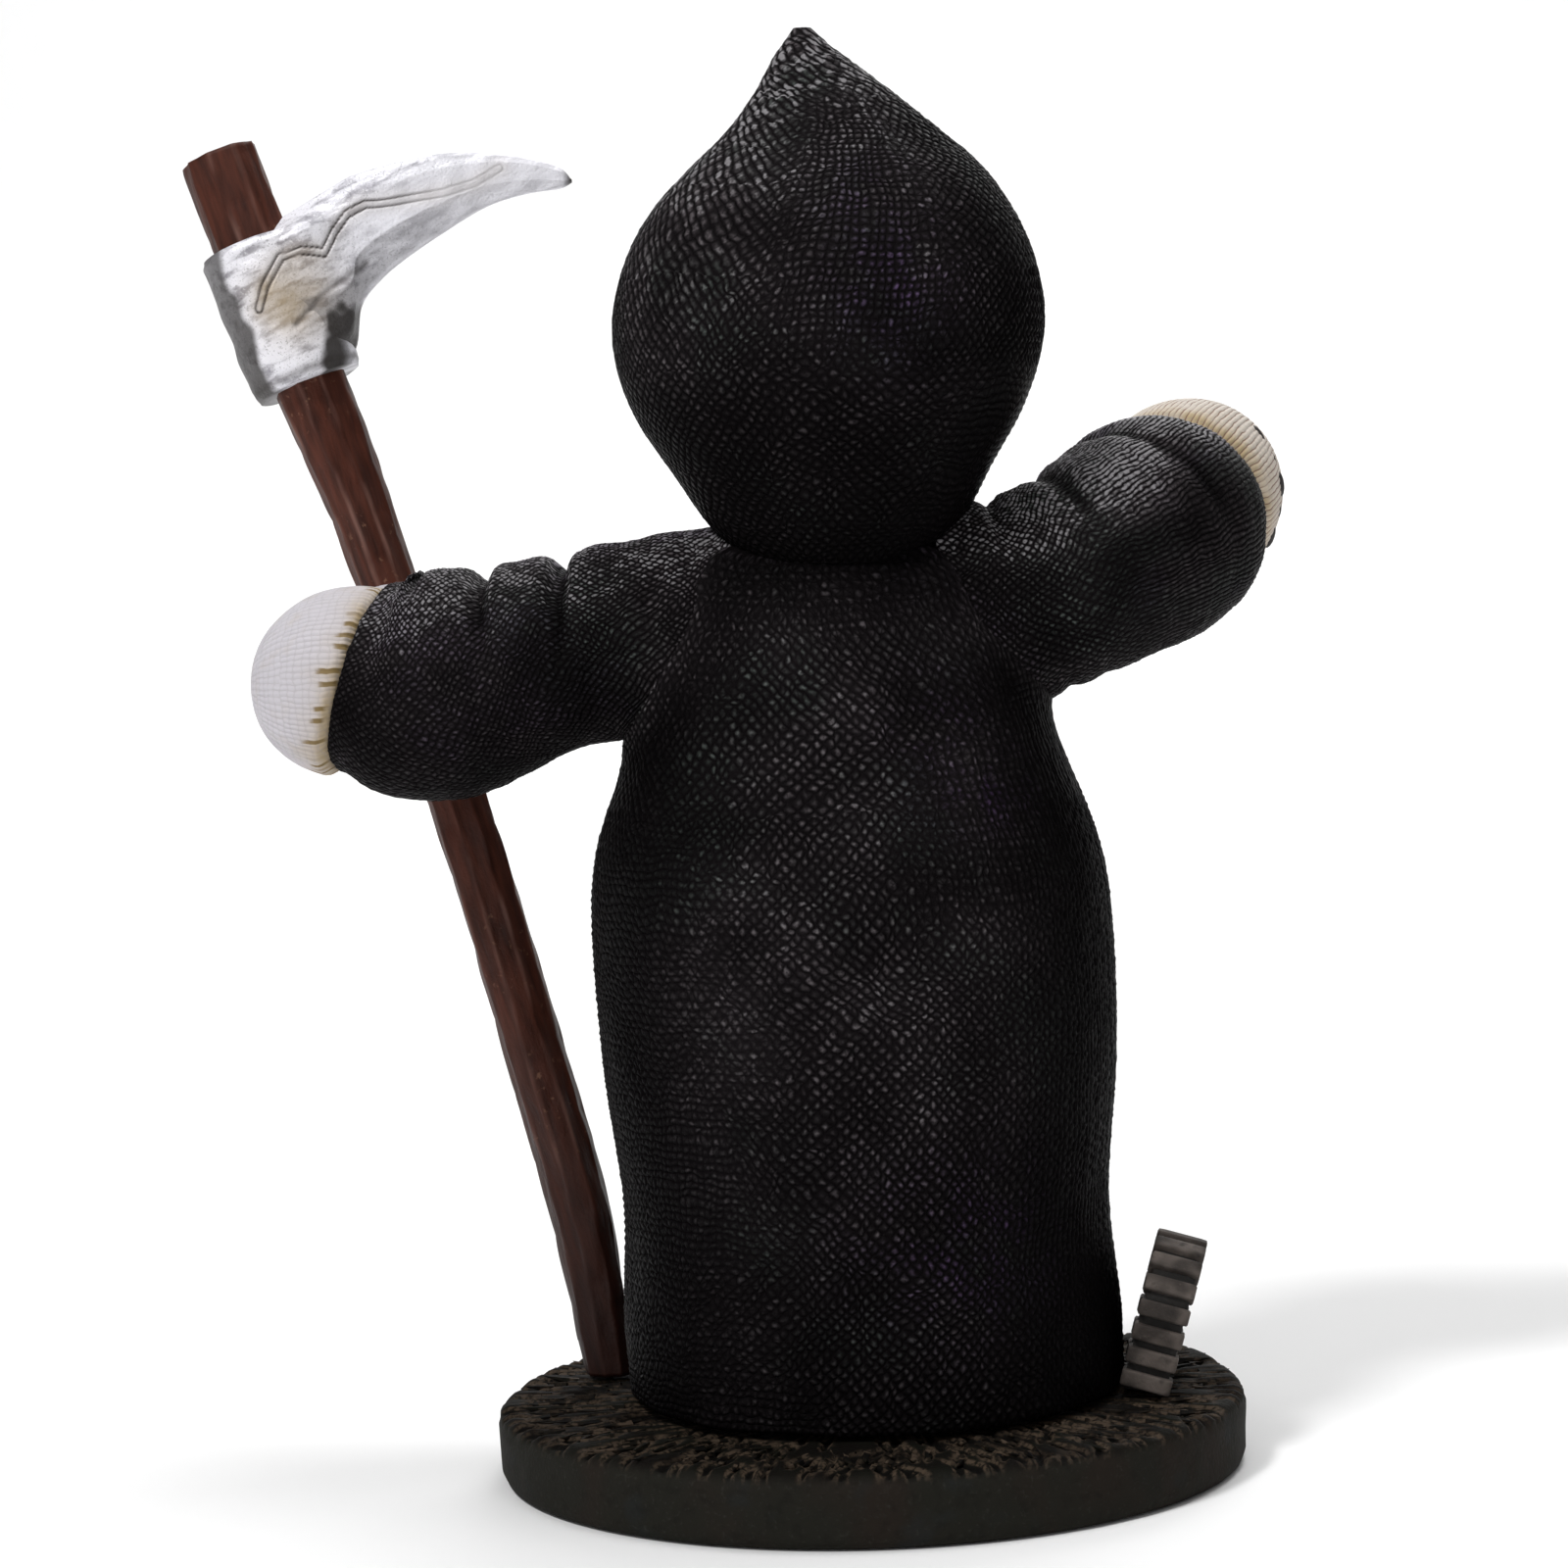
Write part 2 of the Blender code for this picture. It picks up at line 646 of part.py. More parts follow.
def make_scythe():
    """Shaft, socket and curved blade, cast as one rod."""
    scythe = loft("scythe", shaft_rings())
    low, _ = shaft_point(SOCKET_START_SHARE)
    high, way = shaft_point(SOCKET_END_SHARE)
    rings = []
    for share, size in ((0.0, 0.94), (0.04, 1.0), (0.96, 1.0), (1.0, 0.94)):
        centre = low + (high - low) * share
        side = np.cross(way, (0.0, 1.0, 0.0))
        side = side / np.linalg.norm(side)
        across = np.cross(way, side)
        rings.append(
            [
                centre + SOCKET_RADIUS * size * (math.cos(turn) * side + math.sin(turn) * across)
                for turn in np.linspace(0, 2 * math.pi, SOCKET_SIDES, endpoint=False)
            ]
        )
    combine(scythe, loft("socket", rings), "UNION")

    mount_share = (BLADE_MOUNT_HEIGHT - SEAT_HEIGHT) / (SHAFT_TOP - SEAT_HEIGHT)
    root, _ = shaft_point(mount_share)
    rings = []
    for reach, back, edge in smooth(BLADE_OUTLINE, 3):
        share = min(1.0, max(0.0, reach))
        thick = BLADE_ROOT_THICKNESS + (BLADE_TIP_THICKNESS - BLADE_ROOT_THICKNESS) * share
        x = root[0] - BLADE_REACH * reach
        y = root[1]
        top = BLADE_MOUNT_HEIGHT + BLADE_REACH * back
        low_edge = BLADE_MOUNT_HEIGHT + BLADE_REACH * edge
        bevel = top + BLADE_BEVEL_SHARE * (low_edge - top)
        ridge = top + BLADE_RIDGE_SHARE * (bevel - top)
        thin = 0.5 * min(thick, BLADE_EDGE_THICKNESS)
        at_back = BLADE_BACK_HALF_SHARE * thick
        at_ridge = BLADE_RIDGE_HALF_SHARE * thick
        at_bevel = BLADE_BEVEL_HALF_SHARE * thick
        rings.append(
            [
                (x, y + at_back, top),
                (x, y + at_ridge, ridge),
                (x, y + at_bevel, bevel),
                (x, y + thin, low_edge),
                (x, y - thin, low_edge),
                (x, y - at_bevel, bevel),
                (x, y - at_ridge, ridge),
                (x, y - at_back, top),
            ]
        )
    combine(scythe, loft("blade", rings), "UNION")
    finish(scythe, "scythe", (0.16, 0.055, 0.035), 0.55, sharp=25.0)
    return scythe


def add_hand(figure, centre, way, reach):
    hand = oval(
        "hand",
        centre,
        (HAND_RADIUS, HAND_RADIUS, reach),
        HAND_SEGMENTS,
        HAND_RINGS,
        blunt=0.9,
        forward=way,
    )
    combine(figure, hand, "UNION")


def make_figure():
    """Robe, hood, face, sleeves and hands, cast as one."""
    figure = loft("figure", robe_rings())
    combine(figure, loft("hood", hood_rings()), "UNION")
    path, radii = scythe_sleeve_path()
    cuff, way = add_sleeve(figure, path, radii, SCYTHE_CREASES)
    level = np.array((way[0], way[1], 0.0))
    level = level / np.linalg.norm(level)
    centre = cuff + level * SCYTHE_HAND_LEAD - np.array((0.0, 0.0, SCYTHE_HAND_DROP))
    add_hand(figure, centre, level, SCYTHE_HAND_REACH)
    grip_share = (cuff[2] - SEAT_HEIGHT) / (SHAFT_TOP - SEAT_HEIGHT)
    grip, lean = shaft_point(grip_share)
    fist = oval(
        "fist",
        grip + (cuff - grip) * FIST_SHIFT_SHARES,
        (FIST_HALF_WIDTH, FIST_HALF_DEPTH, FIST_HALF_HEIGHT),
        HAND_SEGMENTS,
        HAND_RINGS,
        forward=lean,
    )
    combine(figure, fist, "UNION")
    combine(figure, loft("bore", shaft_rings(SHAFT_CLEARANCE)), "DIFFERENCE")

    path, radii = raised_sleeve_path()
    cuff, way = add_sleeve(figure, path, radii, RAISED_CREASES)
    way = way + np.array(RAISED_HAND_TURN)
    way = way / np.linalg.norm(way)
    add_hand(figure, cuff + way * RAISED_HAND_LEAD, way, RAISED_HAND_REACH)
    add_face(figure)
    finish(figure, "figure", (0.018, 0.017, 0.020), 0.6, sharp=50.0)
    return figure


def stone_outline():
    """The gravestone's outline from the foot round the arch, its joints let in."""
    half = STONE_WIDTH / 2
    straight = STONE_HEIGHT - half
    marks = []
    course = straight / STONE_COURSES
    joint = STONE_JOINT_SHARE * course
    for index in range(STONE_COURSES):
        low = index * course
        marks.append((low + joint, 0.0))
        marks.append((low + course - joint, 0.0))
        marks.append((low + course, 1.0))
    outline = [(half, 0.0, 0.0)]
    outline += [(half, height, depth) for height, depth in marks[:-1]]
    arch = []
    wedge = math.pi / STONE_ARCH_STONES
    for index in range(STONE_ARCH_STONES):
        start = index * wedge
        arch.append((start, 1.0))
        arch.append((start + STONE_JOINT_SHARE * wedge, 0.0))
        arch.append((start + wedge * 0.5, 0.0))
        arch.append((start + wedge - STONE_JOINT_SHARE * wedge, 0.0))
    arch.append((math.pi, 1.0))
    for turn, depth in arch:
        outline.append((half * math.cos(turn), straight + half * math.sin(turn), depth))
    outline += [(-half, height, depth) for height, depth in reversed(marks[:-1])]
    outline.append((-half, 0.0, 0.0))
    return outline, straight


def make_gravestone():
    """The round-topped stone leaning outwards, its edge laid in blocks and its faces plain."""
    outline, straight = stone_outline()
    half = STONE_WIDTH / 2
    below = STONE_THICKNESS

    def placed(inset, across):
        ring = []
        for u, v, depth in outline:
            let_in = inset + depth * STONE_JOINT_DEPTH
            if v <= straight:
                ring.append((across, u * (half - let_in) / half, v))
            else:
                scale = (half - let_in) / half
                ring.append((across, u * scale, straight + (v - straight) * scale))
        first, last = ring[0], ring[-1]
        ring.append((across, last[1], -below))
        ring.append((across, first[1], -below))
        return ring

    thick = STONE_THICKNESS / 2
    panel = thick - STONE_PANEL_DEPTH
    band = STONE_BAND_SHARE * thick
    chamfer = STONE_CHAMFER_SHARE * STONE_BORDER
    slope = STONE_SLOPE_SHARE * STONE_BORDER
    made = loft(
        "gravestone",
        [
            placed(slope, -panel),
            placed(STONE_BORDER, -thick),
            placed(chamfer, -thick),
            placed(0.0, -band),
            placed(0.0, band),
            placed(chamfer, thick),
            placed(STONE_BORDER, thick),
            placed(slope, panel),
        ],
    )
    lean = math.radians(-STONE_LEAN)
    turn = math.radians(-STONE_TURN)
    for vertex in made.data.vertices:
        x, y, z = vertex.co
        x, z = x * math.cos(lean) + z * math.sin(lean), -x * math.sin(lean) + z * math.cos(lean)
        x, y = x * math.cos(turn) - y * math.sin(turn), x * math.sin(turn) + y * math.cos(turn)
        vertex.co = (x + STONE_X, y + STONE_Y, z + SEAT_HEIGHT)
    span = 3 * STONE_WIDTH
    ground = loft(
        "ground",
        [
            [
                (STONE_X + a * span, STONE_Y + b * span, height)
                for a, b in ((-1, -1), (1, -1), (1, 1), (-1, 1))
            ]
            for height in (-span, SEAT_HEIGHT)
        ],
    )
    combine(made, ground, "DIFFERENCE")
    finish(made, "gravestone", (0.17, 0.155, 0.145), 0.8, sharp=25.0)
    return made


def main():
    for old in list(bpy.data.objects):
        bpy.data.objects.remove(old)
    make_base()
    make_figure()
    make_scythe()
    make_gravestone()


main()
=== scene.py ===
"""Looks of the grim reaper figurine: a knitted doll in black with a scythe and a small gravestone on turf.

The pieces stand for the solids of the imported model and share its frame: metres, +Z up, facing -Y.
Sizes in the classes are millimetres, and each mesh is turned to metres once, when it is made.
"""

import logging
import math
from dataclasses import dataclass, field
from enum import Enum
from typing import Any, Sequence

import bmesh
import bpy
import numpy as np
from mathutils import Matrix, Vector


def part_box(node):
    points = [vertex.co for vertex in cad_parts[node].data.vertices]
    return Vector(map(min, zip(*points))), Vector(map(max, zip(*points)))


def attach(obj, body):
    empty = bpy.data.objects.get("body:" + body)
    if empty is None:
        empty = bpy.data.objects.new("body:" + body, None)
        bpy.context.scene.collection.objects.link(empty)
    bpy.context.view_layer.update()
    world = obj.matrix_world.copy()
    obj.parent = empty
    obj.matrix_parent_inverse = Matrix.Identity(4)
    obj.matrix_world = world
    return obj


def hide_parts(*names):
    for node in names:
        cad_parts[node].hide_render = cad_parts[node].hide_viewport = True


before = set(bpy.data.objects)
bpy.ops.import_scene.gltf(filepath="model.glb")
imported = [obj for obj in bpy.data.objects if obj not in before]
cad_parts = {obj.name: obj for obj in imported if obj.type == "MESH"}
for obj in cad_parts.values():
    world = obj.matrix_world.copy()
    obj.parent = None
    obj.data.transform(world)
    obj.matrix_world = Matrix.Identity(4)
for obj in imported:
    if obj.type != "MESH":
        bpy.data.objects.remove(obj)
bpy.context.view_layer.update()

Array = np.ndarray
Triple = tuple[float, float, float]
Colour = Triple
Material = bpy.types.Material
Piece = bpy.types.Object

LOG = logging.getLogger("reaper")
MM = 0.001
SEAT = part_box("figure")[0].z / MM
BODY = "root"
UP = np.array((0.0, 0.0, 1.0))
PER_STITCH = 3
STITCH_MAP = "stitches"
STITCH_FORMS = ("slant", "squares", "rows", "columns")
STITCH_ROUNDING = 0.6
STITCH_MIDDLE = 0.6
WANDER = ((7.0, 1.1), (2.1, 0.60), (1.1, 0.30))
POLE = 0.02
FAR = 1e9
TINY = 1e-9
FIGURE_MIDDLE = (0.0, 0.0, 0.07)


# Curves and small sums


def smooth(stations: Sequence[Sequence[float]], steps: int) -> Array:
    """Draws a smooth curve through the stations.

    Args:
        stations: rows of numbers, the first of each row rising.
        steps: points per span.

    Returns:
        The curve's points, one row each.
    """
    rows = np.array(stations, float)
    padded = np.vstack([2 * rows[0] - rows[1], rows, 2 * rows[-1] - rows[-2]])
    found = []
    for index in range(len(rows) - 1):
        a, b, c, d = padded[index : index + 4]
        for t in np.arange(steps) / steps:
            cubic = (3 * b - a - 3 * c + d) * t**3
            found.append(0.5 * (2 * b + (c - a) * t + (2 * a - 5 * b + 4 * c - d) * t * t + cubic))
    return np.array(found + [rows[-1]])


def curve_at(stations: Sequence[Sequence[float]], shares: Array, steps: int = 16) -> list[Array]:
    """Reads each column of the smooth curve at the shares given in its first column."""
    curve = smooth(stations, steps).T
    return [np.interp(shares, curve[0], column) for column in curve]


def ease(low: float, high: float, value: Any) -> Any:
    """Rises smoothly from 0 at low to 1 at high."""
    t = np.clip((np.asarray(value, float) - low) / (high - low), 0.0, 1.0)
    return t * t * (3 - 2 * t)


def unit(vectors: Any) -> Array:
    """Gives each vector a length of one."""
    vectors = np.asarray(vectors, float)
    return vectors / np.maximum(np.linalg.norm(vectors, axis=-1, keepdims=True), TINY)


def full_turn(count: int) -> Array:
    """Gives the angles of evenly spaced columns round a body."""
    return np.linspace(0, 2 * math.pi, count, endpoint=False)


def spokes(side: Array, across: Array, turn: Array) -> Array:
    """Gives the directions at the turns in the plane of two directions."""
    return np.cos(turn)[:, None] * side + np.sin(turn)[:, None] * across


def run_along(line: Array) -> Array:
    """Gives how far along a line each of its points lies."""
    return np.concatenate([[0.0], np.cumsum(np.linalg.norm(np.diff(line, axis=0), axis=1))])


def value_noise(points: Array, cell: float, seed: int) -> Array:
    """Gives smooth noise from 0 to 1 at places in space.

    Args:
        points: array whose last axis is the place.
        cell: size of one cell of the noise.
        seed: which noise it is.

    Returns:
        One number for each place.
    """
    places = points / cell
    low = np.floor(places).astype(np.int64)
    part = places - low
    part = part * part * (3 - 2 * part)
    total = np.zeros(points.shape[:-1])
    for corner in range(8):
        step = np.array([(corner >> k) & 1 for k in range(3)])
        x, y, z = np.moveaxis(low + step, -1, 0)
        mixed = x * 73856093 ^ y * 19349663 ^ z * 83492791 ^ seed * 2654435
        mixed = (mixed ^ (mixed >> 13)) * 1274126177 & 0x7FFFFFFF
        weight = np.prod(np.where(step == 1, part, 1 - part), axis=-1)
        total += weight * (mixed % 65536) / 65535.0
    return total


def dents(points: Array, cell: float, seed: int) -> Array:
    """Gives the same noise from -0.5 to 0.5."""
    return value_noise(points, cell, seed) - 0.5


def soft_spots(points: Array, spots: Sequence[Sequence[float]]) -> Array:
    """Gives how strongly soft painted spots on the back cover each place.

    Args:
        points: the places, millimetres.
        spots: each spot's X and Z, its half width and half height, and its strength.

    Returns:
        The cover from 0 to 1.
    """
    cover = np.zeros(points.shape[:-1])
    for x, z, wide, high, strength in spots:
        away = ((points[..., 0] - x) / wide) ** 2 + ((points[..., 2] - z) / high) ** 2
        cover = np.maximum(cover, strength * np.exp(-away))
    return cover * ease(-2.0, 6.0, points[..., 1])


def segment_distance(places: Array, corners: Sequence[Sequence[float]]) -> Array:
    """Gives the distance from places on a plane to a line of straight stretches.

    Args:
        places: array (..., 2).
        corners: the line's corners.

    Returns:
        The shortest distance for each place.
    """
    line = np.array(corners)
    best = np.full(places.shape[:-1], FAR)
    for start, end in zip(line[:-1], line[1:]):
        run = end - start
        t = np.clip(((places - start) @ run) / (run @ run), 0.0, 1.0)
        best = np.minimum(best, np.linalg.norm(places - start - t[..., None] * run, axis=-1))
    return best


# Meshes


def add_object(name: str, data: Any) -> Piece:
    """Puts a new object with its data in the scene."""
    made = bpy.data.objects.new(name, data)
    bpy.context.scene.collection.objects.link(made)
    return made


def plain_object(name: str, places: Any, edges: Sequence[Any], faces: Sequence[Any]) -> Piece:
    """Makes an object from places in metres, its edges and its faces."""
    mesh = bpy.data.meshes.new(name)
    mesh.from_pydata([tuple(map(float, place)) for place in places], edges, faces)
    return add_object(name, mesh)


@dataclass
class Grid:
    """Points in rows and closed columns that become one closed mesh.

    Attributes:
        points: array (rows, columns, 3), millimetres, each row going round the way of travel.
        across: the stitch count round each stretch between two rows, for the stitch map.
        along: the stitch rows' place at each row of points.
        marks: painted values at the points, by name, as arrays or as one number for all.
    """

    points: Array
    across: Array
    along: Array
    marks: dict[str, Any] = field(default_factory=dict)

    def ways(self) -> tuple[Array, Array]:
        """Gives the ways round the body and along it at each point."""
        round_way = np.roll(self.points, -1, axis=1) - np.roll(self.points, 1, axis=1)
        return round_way, np.gradient(self.points, axis=0)

    def normals(self) -> Array:
        """Gives the outward direction at each point."""
        return unit(np.cross(*self.ways()))

    def raised(self, height: Array) -> "Grid":
        """Moves each point outwards by a height in millimetres."""
        self.points = self.points + self.normals() * height[..., None]
        return self

    def wander(self, seed: int, steps: Sequence[tuple[float, float]] = WANDER) -> "Grid":
        """Moves the points along the surface, so that the stitches don't run in straight lines.

        Args:
            seed: which noise it is.
            steps: pairs of a patch size and how far points move, millimetres.

        Returns:
            The grid itself.
        """
        round_way, travel = (unit(way) for way in self.ways())
        row = np.arange(len(self.points))
        fade = ease(0, 6, np.minimum(row, row[::-1]))[:, None, None]
        moved = np.zeros_like(self.points)
        for index, (cell, amount) in enumerate(steps):
            aside = dents(self.points, cell, seed + 2 * index)[..., None]
            ahead = dents(self.points, cell, seed + 2 * index + 1)[..., None]
            moved += amount * (round_way * aside + travel * ahead)
        self.points = self.points + moved * fade
        return self

    def stitch_places(self) -> tuple[Array, Array]:
        """Gives each point's place across and along the stitches."""
        rows, columns = self.points.shape[:2]
        counts = np.append(self.across, self.across[-1])
        u = counts[:, None] * np.arange(columns)[None, :] / columns
        return u, np.repeat(self.along[:, None], columns, axis=1)

    def build(self, name: str) -> Piece:
        """Makes the mesh piece, its first and last row closed by a point each.

        Args:
            name: the piece's name.

        Returns:
            The new object, at the origin.
        """
        rows, columns = self.points.shape[:2]
        ends = np.stack([self.points[0].mean(0), self.points[-1].mean(0)])
        places = np.concatenate([self.points.reshape(-1, 3), ends]) * MM
        c = np.arange(columns)
        after = (c + 1) % columns
        low = np.arange(rows - 1)[:, None] * columns
        high = low + columns
        first, last = rows * columns, (rows - 1) * columns
        faces = (
            np.stack([low + c, low + after, high + after, high + c], -1),
            np.stack([np.full(columns, first), after, c], -1),
            np.stack([np.full(columns, first + 1), last + c, last + after], -1),
        )
        loops = np.concatenate([part.reshape(-1) for part in faces])
        starts = np.concatenate([np.arange(last) * 4, last * 4 + np.arange(2 * columns) * 3])
        mesh = bpy.data.meshes.new(name)
        for group, key, values in (
            (mesh.vertices, "co", places.astype(np.float32)),
            (mesh.loops, "vertex_index", loops.astype(np.int32)),
            (mesh.polygons, "loop_start", starts.astype(np.int32)),
        ):
            group.add(len(values))
            group.foreach_set(key, values.ravel())
        mesh.update(calc_edges=True)

        share = self.across[:, None] / columns
        u = np.stack([share * c, share * (c + 1), share * (c + 1), share * c], -1)
        v = np.repeat(self.along[:, None], columns, axis=1)
        before, beyond = v[:-1], v[1:]
        v = np.stack([before, before, beyond, beyond], -1)
        flat = np.concatenate([np.stack([u, v], -1).reshape(-1, 2), np.zeros((6 * columns, 2))])
        mesh.uv_layers.new(name=STITCH_MAP).data.foreach_set("uv", flat.astype(np.float32).ravel())
        for mark, values in self.marks.items():
            whole = np.broadcast_to(values, (rows, columns))
            whole = np.append(whole, [whole[0].mean(), whole[-1].mean()])
            painted = mesh.attributes.new(mark, "FLOAT", "POINT")
            painted.data.foreach_set("value", whole.astype(np.float32))
        mesh.shade_smooth()
        return add_object(name, mesh)

    def build_ring(self, name: str) -> Piece:
        """Builds a ring-shaped grid whose last row meets its first, without end points.

        Args:
            name: the piece's name.

        Returns:
            The new object, at the origin.
        """
        made = self.build(name)
        edit = bmesh.new()
        edit.from_mesh(made.data)
        edit.verts.ensure_lookup_table()
        bmesh.ops.delete(edit, geom=edit.verts[-2:], context="VERTS")
        bmesh.ops.remove_doubles(edit, verts=edit.verts, dist=1e-7)
        edit.to_mesh(made.data)
        edit.free()
        return made


def soft_join(grid: Grid, away: Array, outward: Array, reach: float) -> Array:
    """Moves a grid's points out where another body passes through it, so that the two meet in a soft curve.

    Args:
        grid: the grid to change.
        away: how far each point is outside the other body, millimetres.
        outward: the other body's outward direction at each point.
        reach: how far from the meeting line the curve begins.

    Returns:
        How strongly each point is part of the curve, 0 to 1.
    """
    share = np.clip(1.0 - np.abs(away) / reach, 0.0, 1.0) ** 2
    way = unit(grid.normals() + outward * share[..., None])
    grid.points = grid.points + way * (0.25 * reach * share)[..., None]
    return share


def fitting_counts(perimeters: Array, columns: int, pitch: float) -> Array:
    """Chooses a stitch count for each stitch row that divides evenly into the columns.

    Args:
        perimeters: the length round each stitch row, millimetres.
        columns: columns of points.
        pitch: the width wanted for a stitch.

    Returns:
        One even count for each row.
    """
    allowed = [columns // k for k in range(PER_STITCH, columns // 6) if columns % k == 0]
    allowed = np.array([n for n in allowed if n % 2 == 0])
    wanted = perimeters / pitch
    return allowed[np.abs(np.log(allowed[None, :] / wanted[:, None])).argmin(axis=1)]


def ridge(value: Any) -> Any:
    """Gives 0 at whole numbers and 1 halfway between them, along a sine."""
    return value.ridge() if isinstance(value, Value) else np.abs(np.sin(np.pi * value))


def stitches(u: Any, v: Any, marks: dict[str, Any]) -> Any:
    """Gives the height of the stitches, for arrays of places and for values in a material alike.

    Args:
        u: the place across the stitches.
        v: the place along them.
        marks: how far the slanted rows turn into each of the forms, by its name.

    Returns:
        The height, 0 between stitches and 1 on top of one.
    """
    a, b = (ridge(k * 1.5) ** STITCH_ROUNDING for k in (u, v))
    line = ridge(u + v) ** STITCH_ROUNDING
    made = line * ridge(u - v) ** STITCH_ROUNDING
    strokes = line * (ridge((u - v) * 0.5) ** 0.5 * 0.55 + 0.45)
    forms = (strokes, a * b, b * (a * 0.25 + 0.75), a * (b * 0.25 + 0.75))
    for name, form in zip(STITCH_FORMS, forms):
        made = made + (form - made) * marks[name]
    return made


def knit(grid: Grid, relief: float) -> Array:
    """Gives how far the knitting on a grid stands out.

    Args:
        grid: the grid, with its marks.
        relief: the height of a whole stitch, millimetres.

    Returns:
        The height at each point, millimetres.
    """
    u, v = grid.stitch_places()
    cell = np.stack([np.floor(u + v + 1e-6), np.floor(u - v + 1e-6), 0 * u], -1)
    return relief * (stitches(u, v, grid.marks) * (0.6 + 0.4 * value_noise(cell, 1.0, 77)) - STITCH_MIDDLE)


def knit_grid(rings: Sequence[Array], angle: Array, around: Array, pitch: float) -> Grid:
    """Makes the grid of an upright knitted body from level ovals.

    Args:
        rings: half width, half depth, middle X, middle Y and height of each row.
        angle: the angle of each point in its row.
        around: the length round each stitch row, millimetres.
        pitch: the width wanted for a stitch.

    Returns:
        The grid.
    """
    wide, deep, x, y, z = (np.broadcast_to(k, len(angle))[:, None] for k in rings)
    x, y = x + wide * np.cos(angle), y + deep * np.sin(angle)
    points = np.stack([x, y, np.broadcast_to(z, angle.shape)], -1)
    counts = fitting_counts(around, angle.shape[1], pitch)
    return Grid(points, np.repeat(counts, PER_STITCH).astype(float), np.arange(len(angle)) / PER_STITCH)


def polar_angles(rows: int) -> Array:
    """Gives the angle of each row of a rounded body, from its tail to its tip."""
    return np.linspace(POLE, math.pi - POLE, rows)


def oval_grid(
    centre: Array, radii: Sequence[float], way: Any, size: tuple[int, int, int], blunt: float = 1.0
) -> Grid:
    """Makes the grid of a rounded body.

    Args:
        centre: its middle.
        radii: sideways, upwards and forward radius.
        way: the direction of its third radius.
        size: rows of points, points round each row, and stitches round its widest row.
        blunt: under 1 for a blunter body.

    Returns:
        The grid.
    """
    rows, columns, count = size
    forward = unit(way)
    side = np.cross(UP, forward)
    side = np.array((1.0, 0.0, 0.0)) if np.linalg.norm(side) < 0.01 else unit(side)
    polar, turn = polar_angles(rows)[:, None], full_turn(columns)
    wide = np.sin(polar) ** blunt
    points = (
        centre
        - forward * (np.cos(polar)[..., None] * radii[2])
        + side * (radii[0] * wide * np.cos(turn))[..., None]
        + np.cross(forward, side) * (radii[1] * wide * np.sin(turn))[..., None]
    )
    around = 0.5 * (wide[1:, 0] + wide[:-1, 0])
    return Grid(points, fitting_counts(around, columns, 1.0 / count).astype(float), np.arange(rows) / 4.0)


# Materials


class Tree:
    """A node tree, with one short way to add to it."""

    tree: bpy.types.NodeTree

    def feed(self, socket: Any, item: Any) -> None:
        """Links or sets one socket."""
        if isinstance(item, Value):
            self.tree.links.new(item.socket, socket)
        elif isinstance(item, bpy.types.NodeSocket):
            self.tree.links.new(item, socket)
        elif isinstance(item, tuple) and socket.type == "RGBA":
            socket.default_value = (*item, 1.0)
        else:
            socket.default_value = item

    def node(self, kind: str, inputs: dict[Any, Any] | None = None, **settings: Any) -> bpy.types.Node:
        """Adds a node.

        Args:
            kind: the node's type.
            inputs: values or links by the name or number of a socket.
            settings: what is set on the node first.

        Returns:
            The node.
        """
        made = self.tree.nodes.new(kind)
        for key, value in settings.items():
            setattr(made, key, value)
        for key, value in (inputs or {}).items():
            self.feed(made.inputs[key], value)
        return made


class Value:
    """A number that varies over a surface, for use in sums written in Python."""

    def __init__(self, nodes: Tree, socket: Any) -> None:
        """Keeps the tree and the socket that gives the number."""
        self.nodes = nodes
        self.socket = socket

    def _sum(self, operation: str, *items: Any) -> "Value":
        """Adds one Math node."""
        made = self.nodes.node("ShaderNodeMath", dict(enumerate(items)), operation=operation)
        return Value(self.nodes, made.outputs[0])

    def __add__(self, other: Any) -> "Value":
        """Adds."""
        return self._sum("ADD", self, other)

    __radd__ = __add__

    def __sub__(self, other: Any) -> "Value":
        """Takes away."""
        return self._sum("SUBTRACT", self, other)

    def __rsub__(self, other: Any) -> "Value":
        """Takes this away from the other."""
        return self._sum("SUBTRACT", other, self)

    def __mul__(self, other: Any) -> "Value":
        """Multiplies."""
        return self._sum("MULTIPLY", self, other)

    def __pow__(self, other: Any) -> "Value":
        """Raises to a power."""
        return self._sum("POWER", self, other)

    def floor(self) -> "Value":
        """Rounds down."""
        return self._sum("FLOOR", self)

    def ridge(self) -> "Value":
        """Gives 0 at whole numbers and 1 halfway between them, along a sine."""
        return self._sum("ABSOLUTE", self._sum("SINE", self * math.pi))

    def step(self, low: float, high: float) -> "Value":
        """Rises smoothly from 0 at low to 1 at high."""
        inputs = {"Value": self, "From Min": low, "From Max": high}
        made = self.nodes.node("ShaderNodeMapRange", inputs, interpolation_type="SMOOTHSTEP")
        return Value(self.nodes, made.outputs[0])

    def toward(self, other: Any, share: Any) -> "Value":
        """Moves to the other number by a share."""
        return self + (other - self) * share


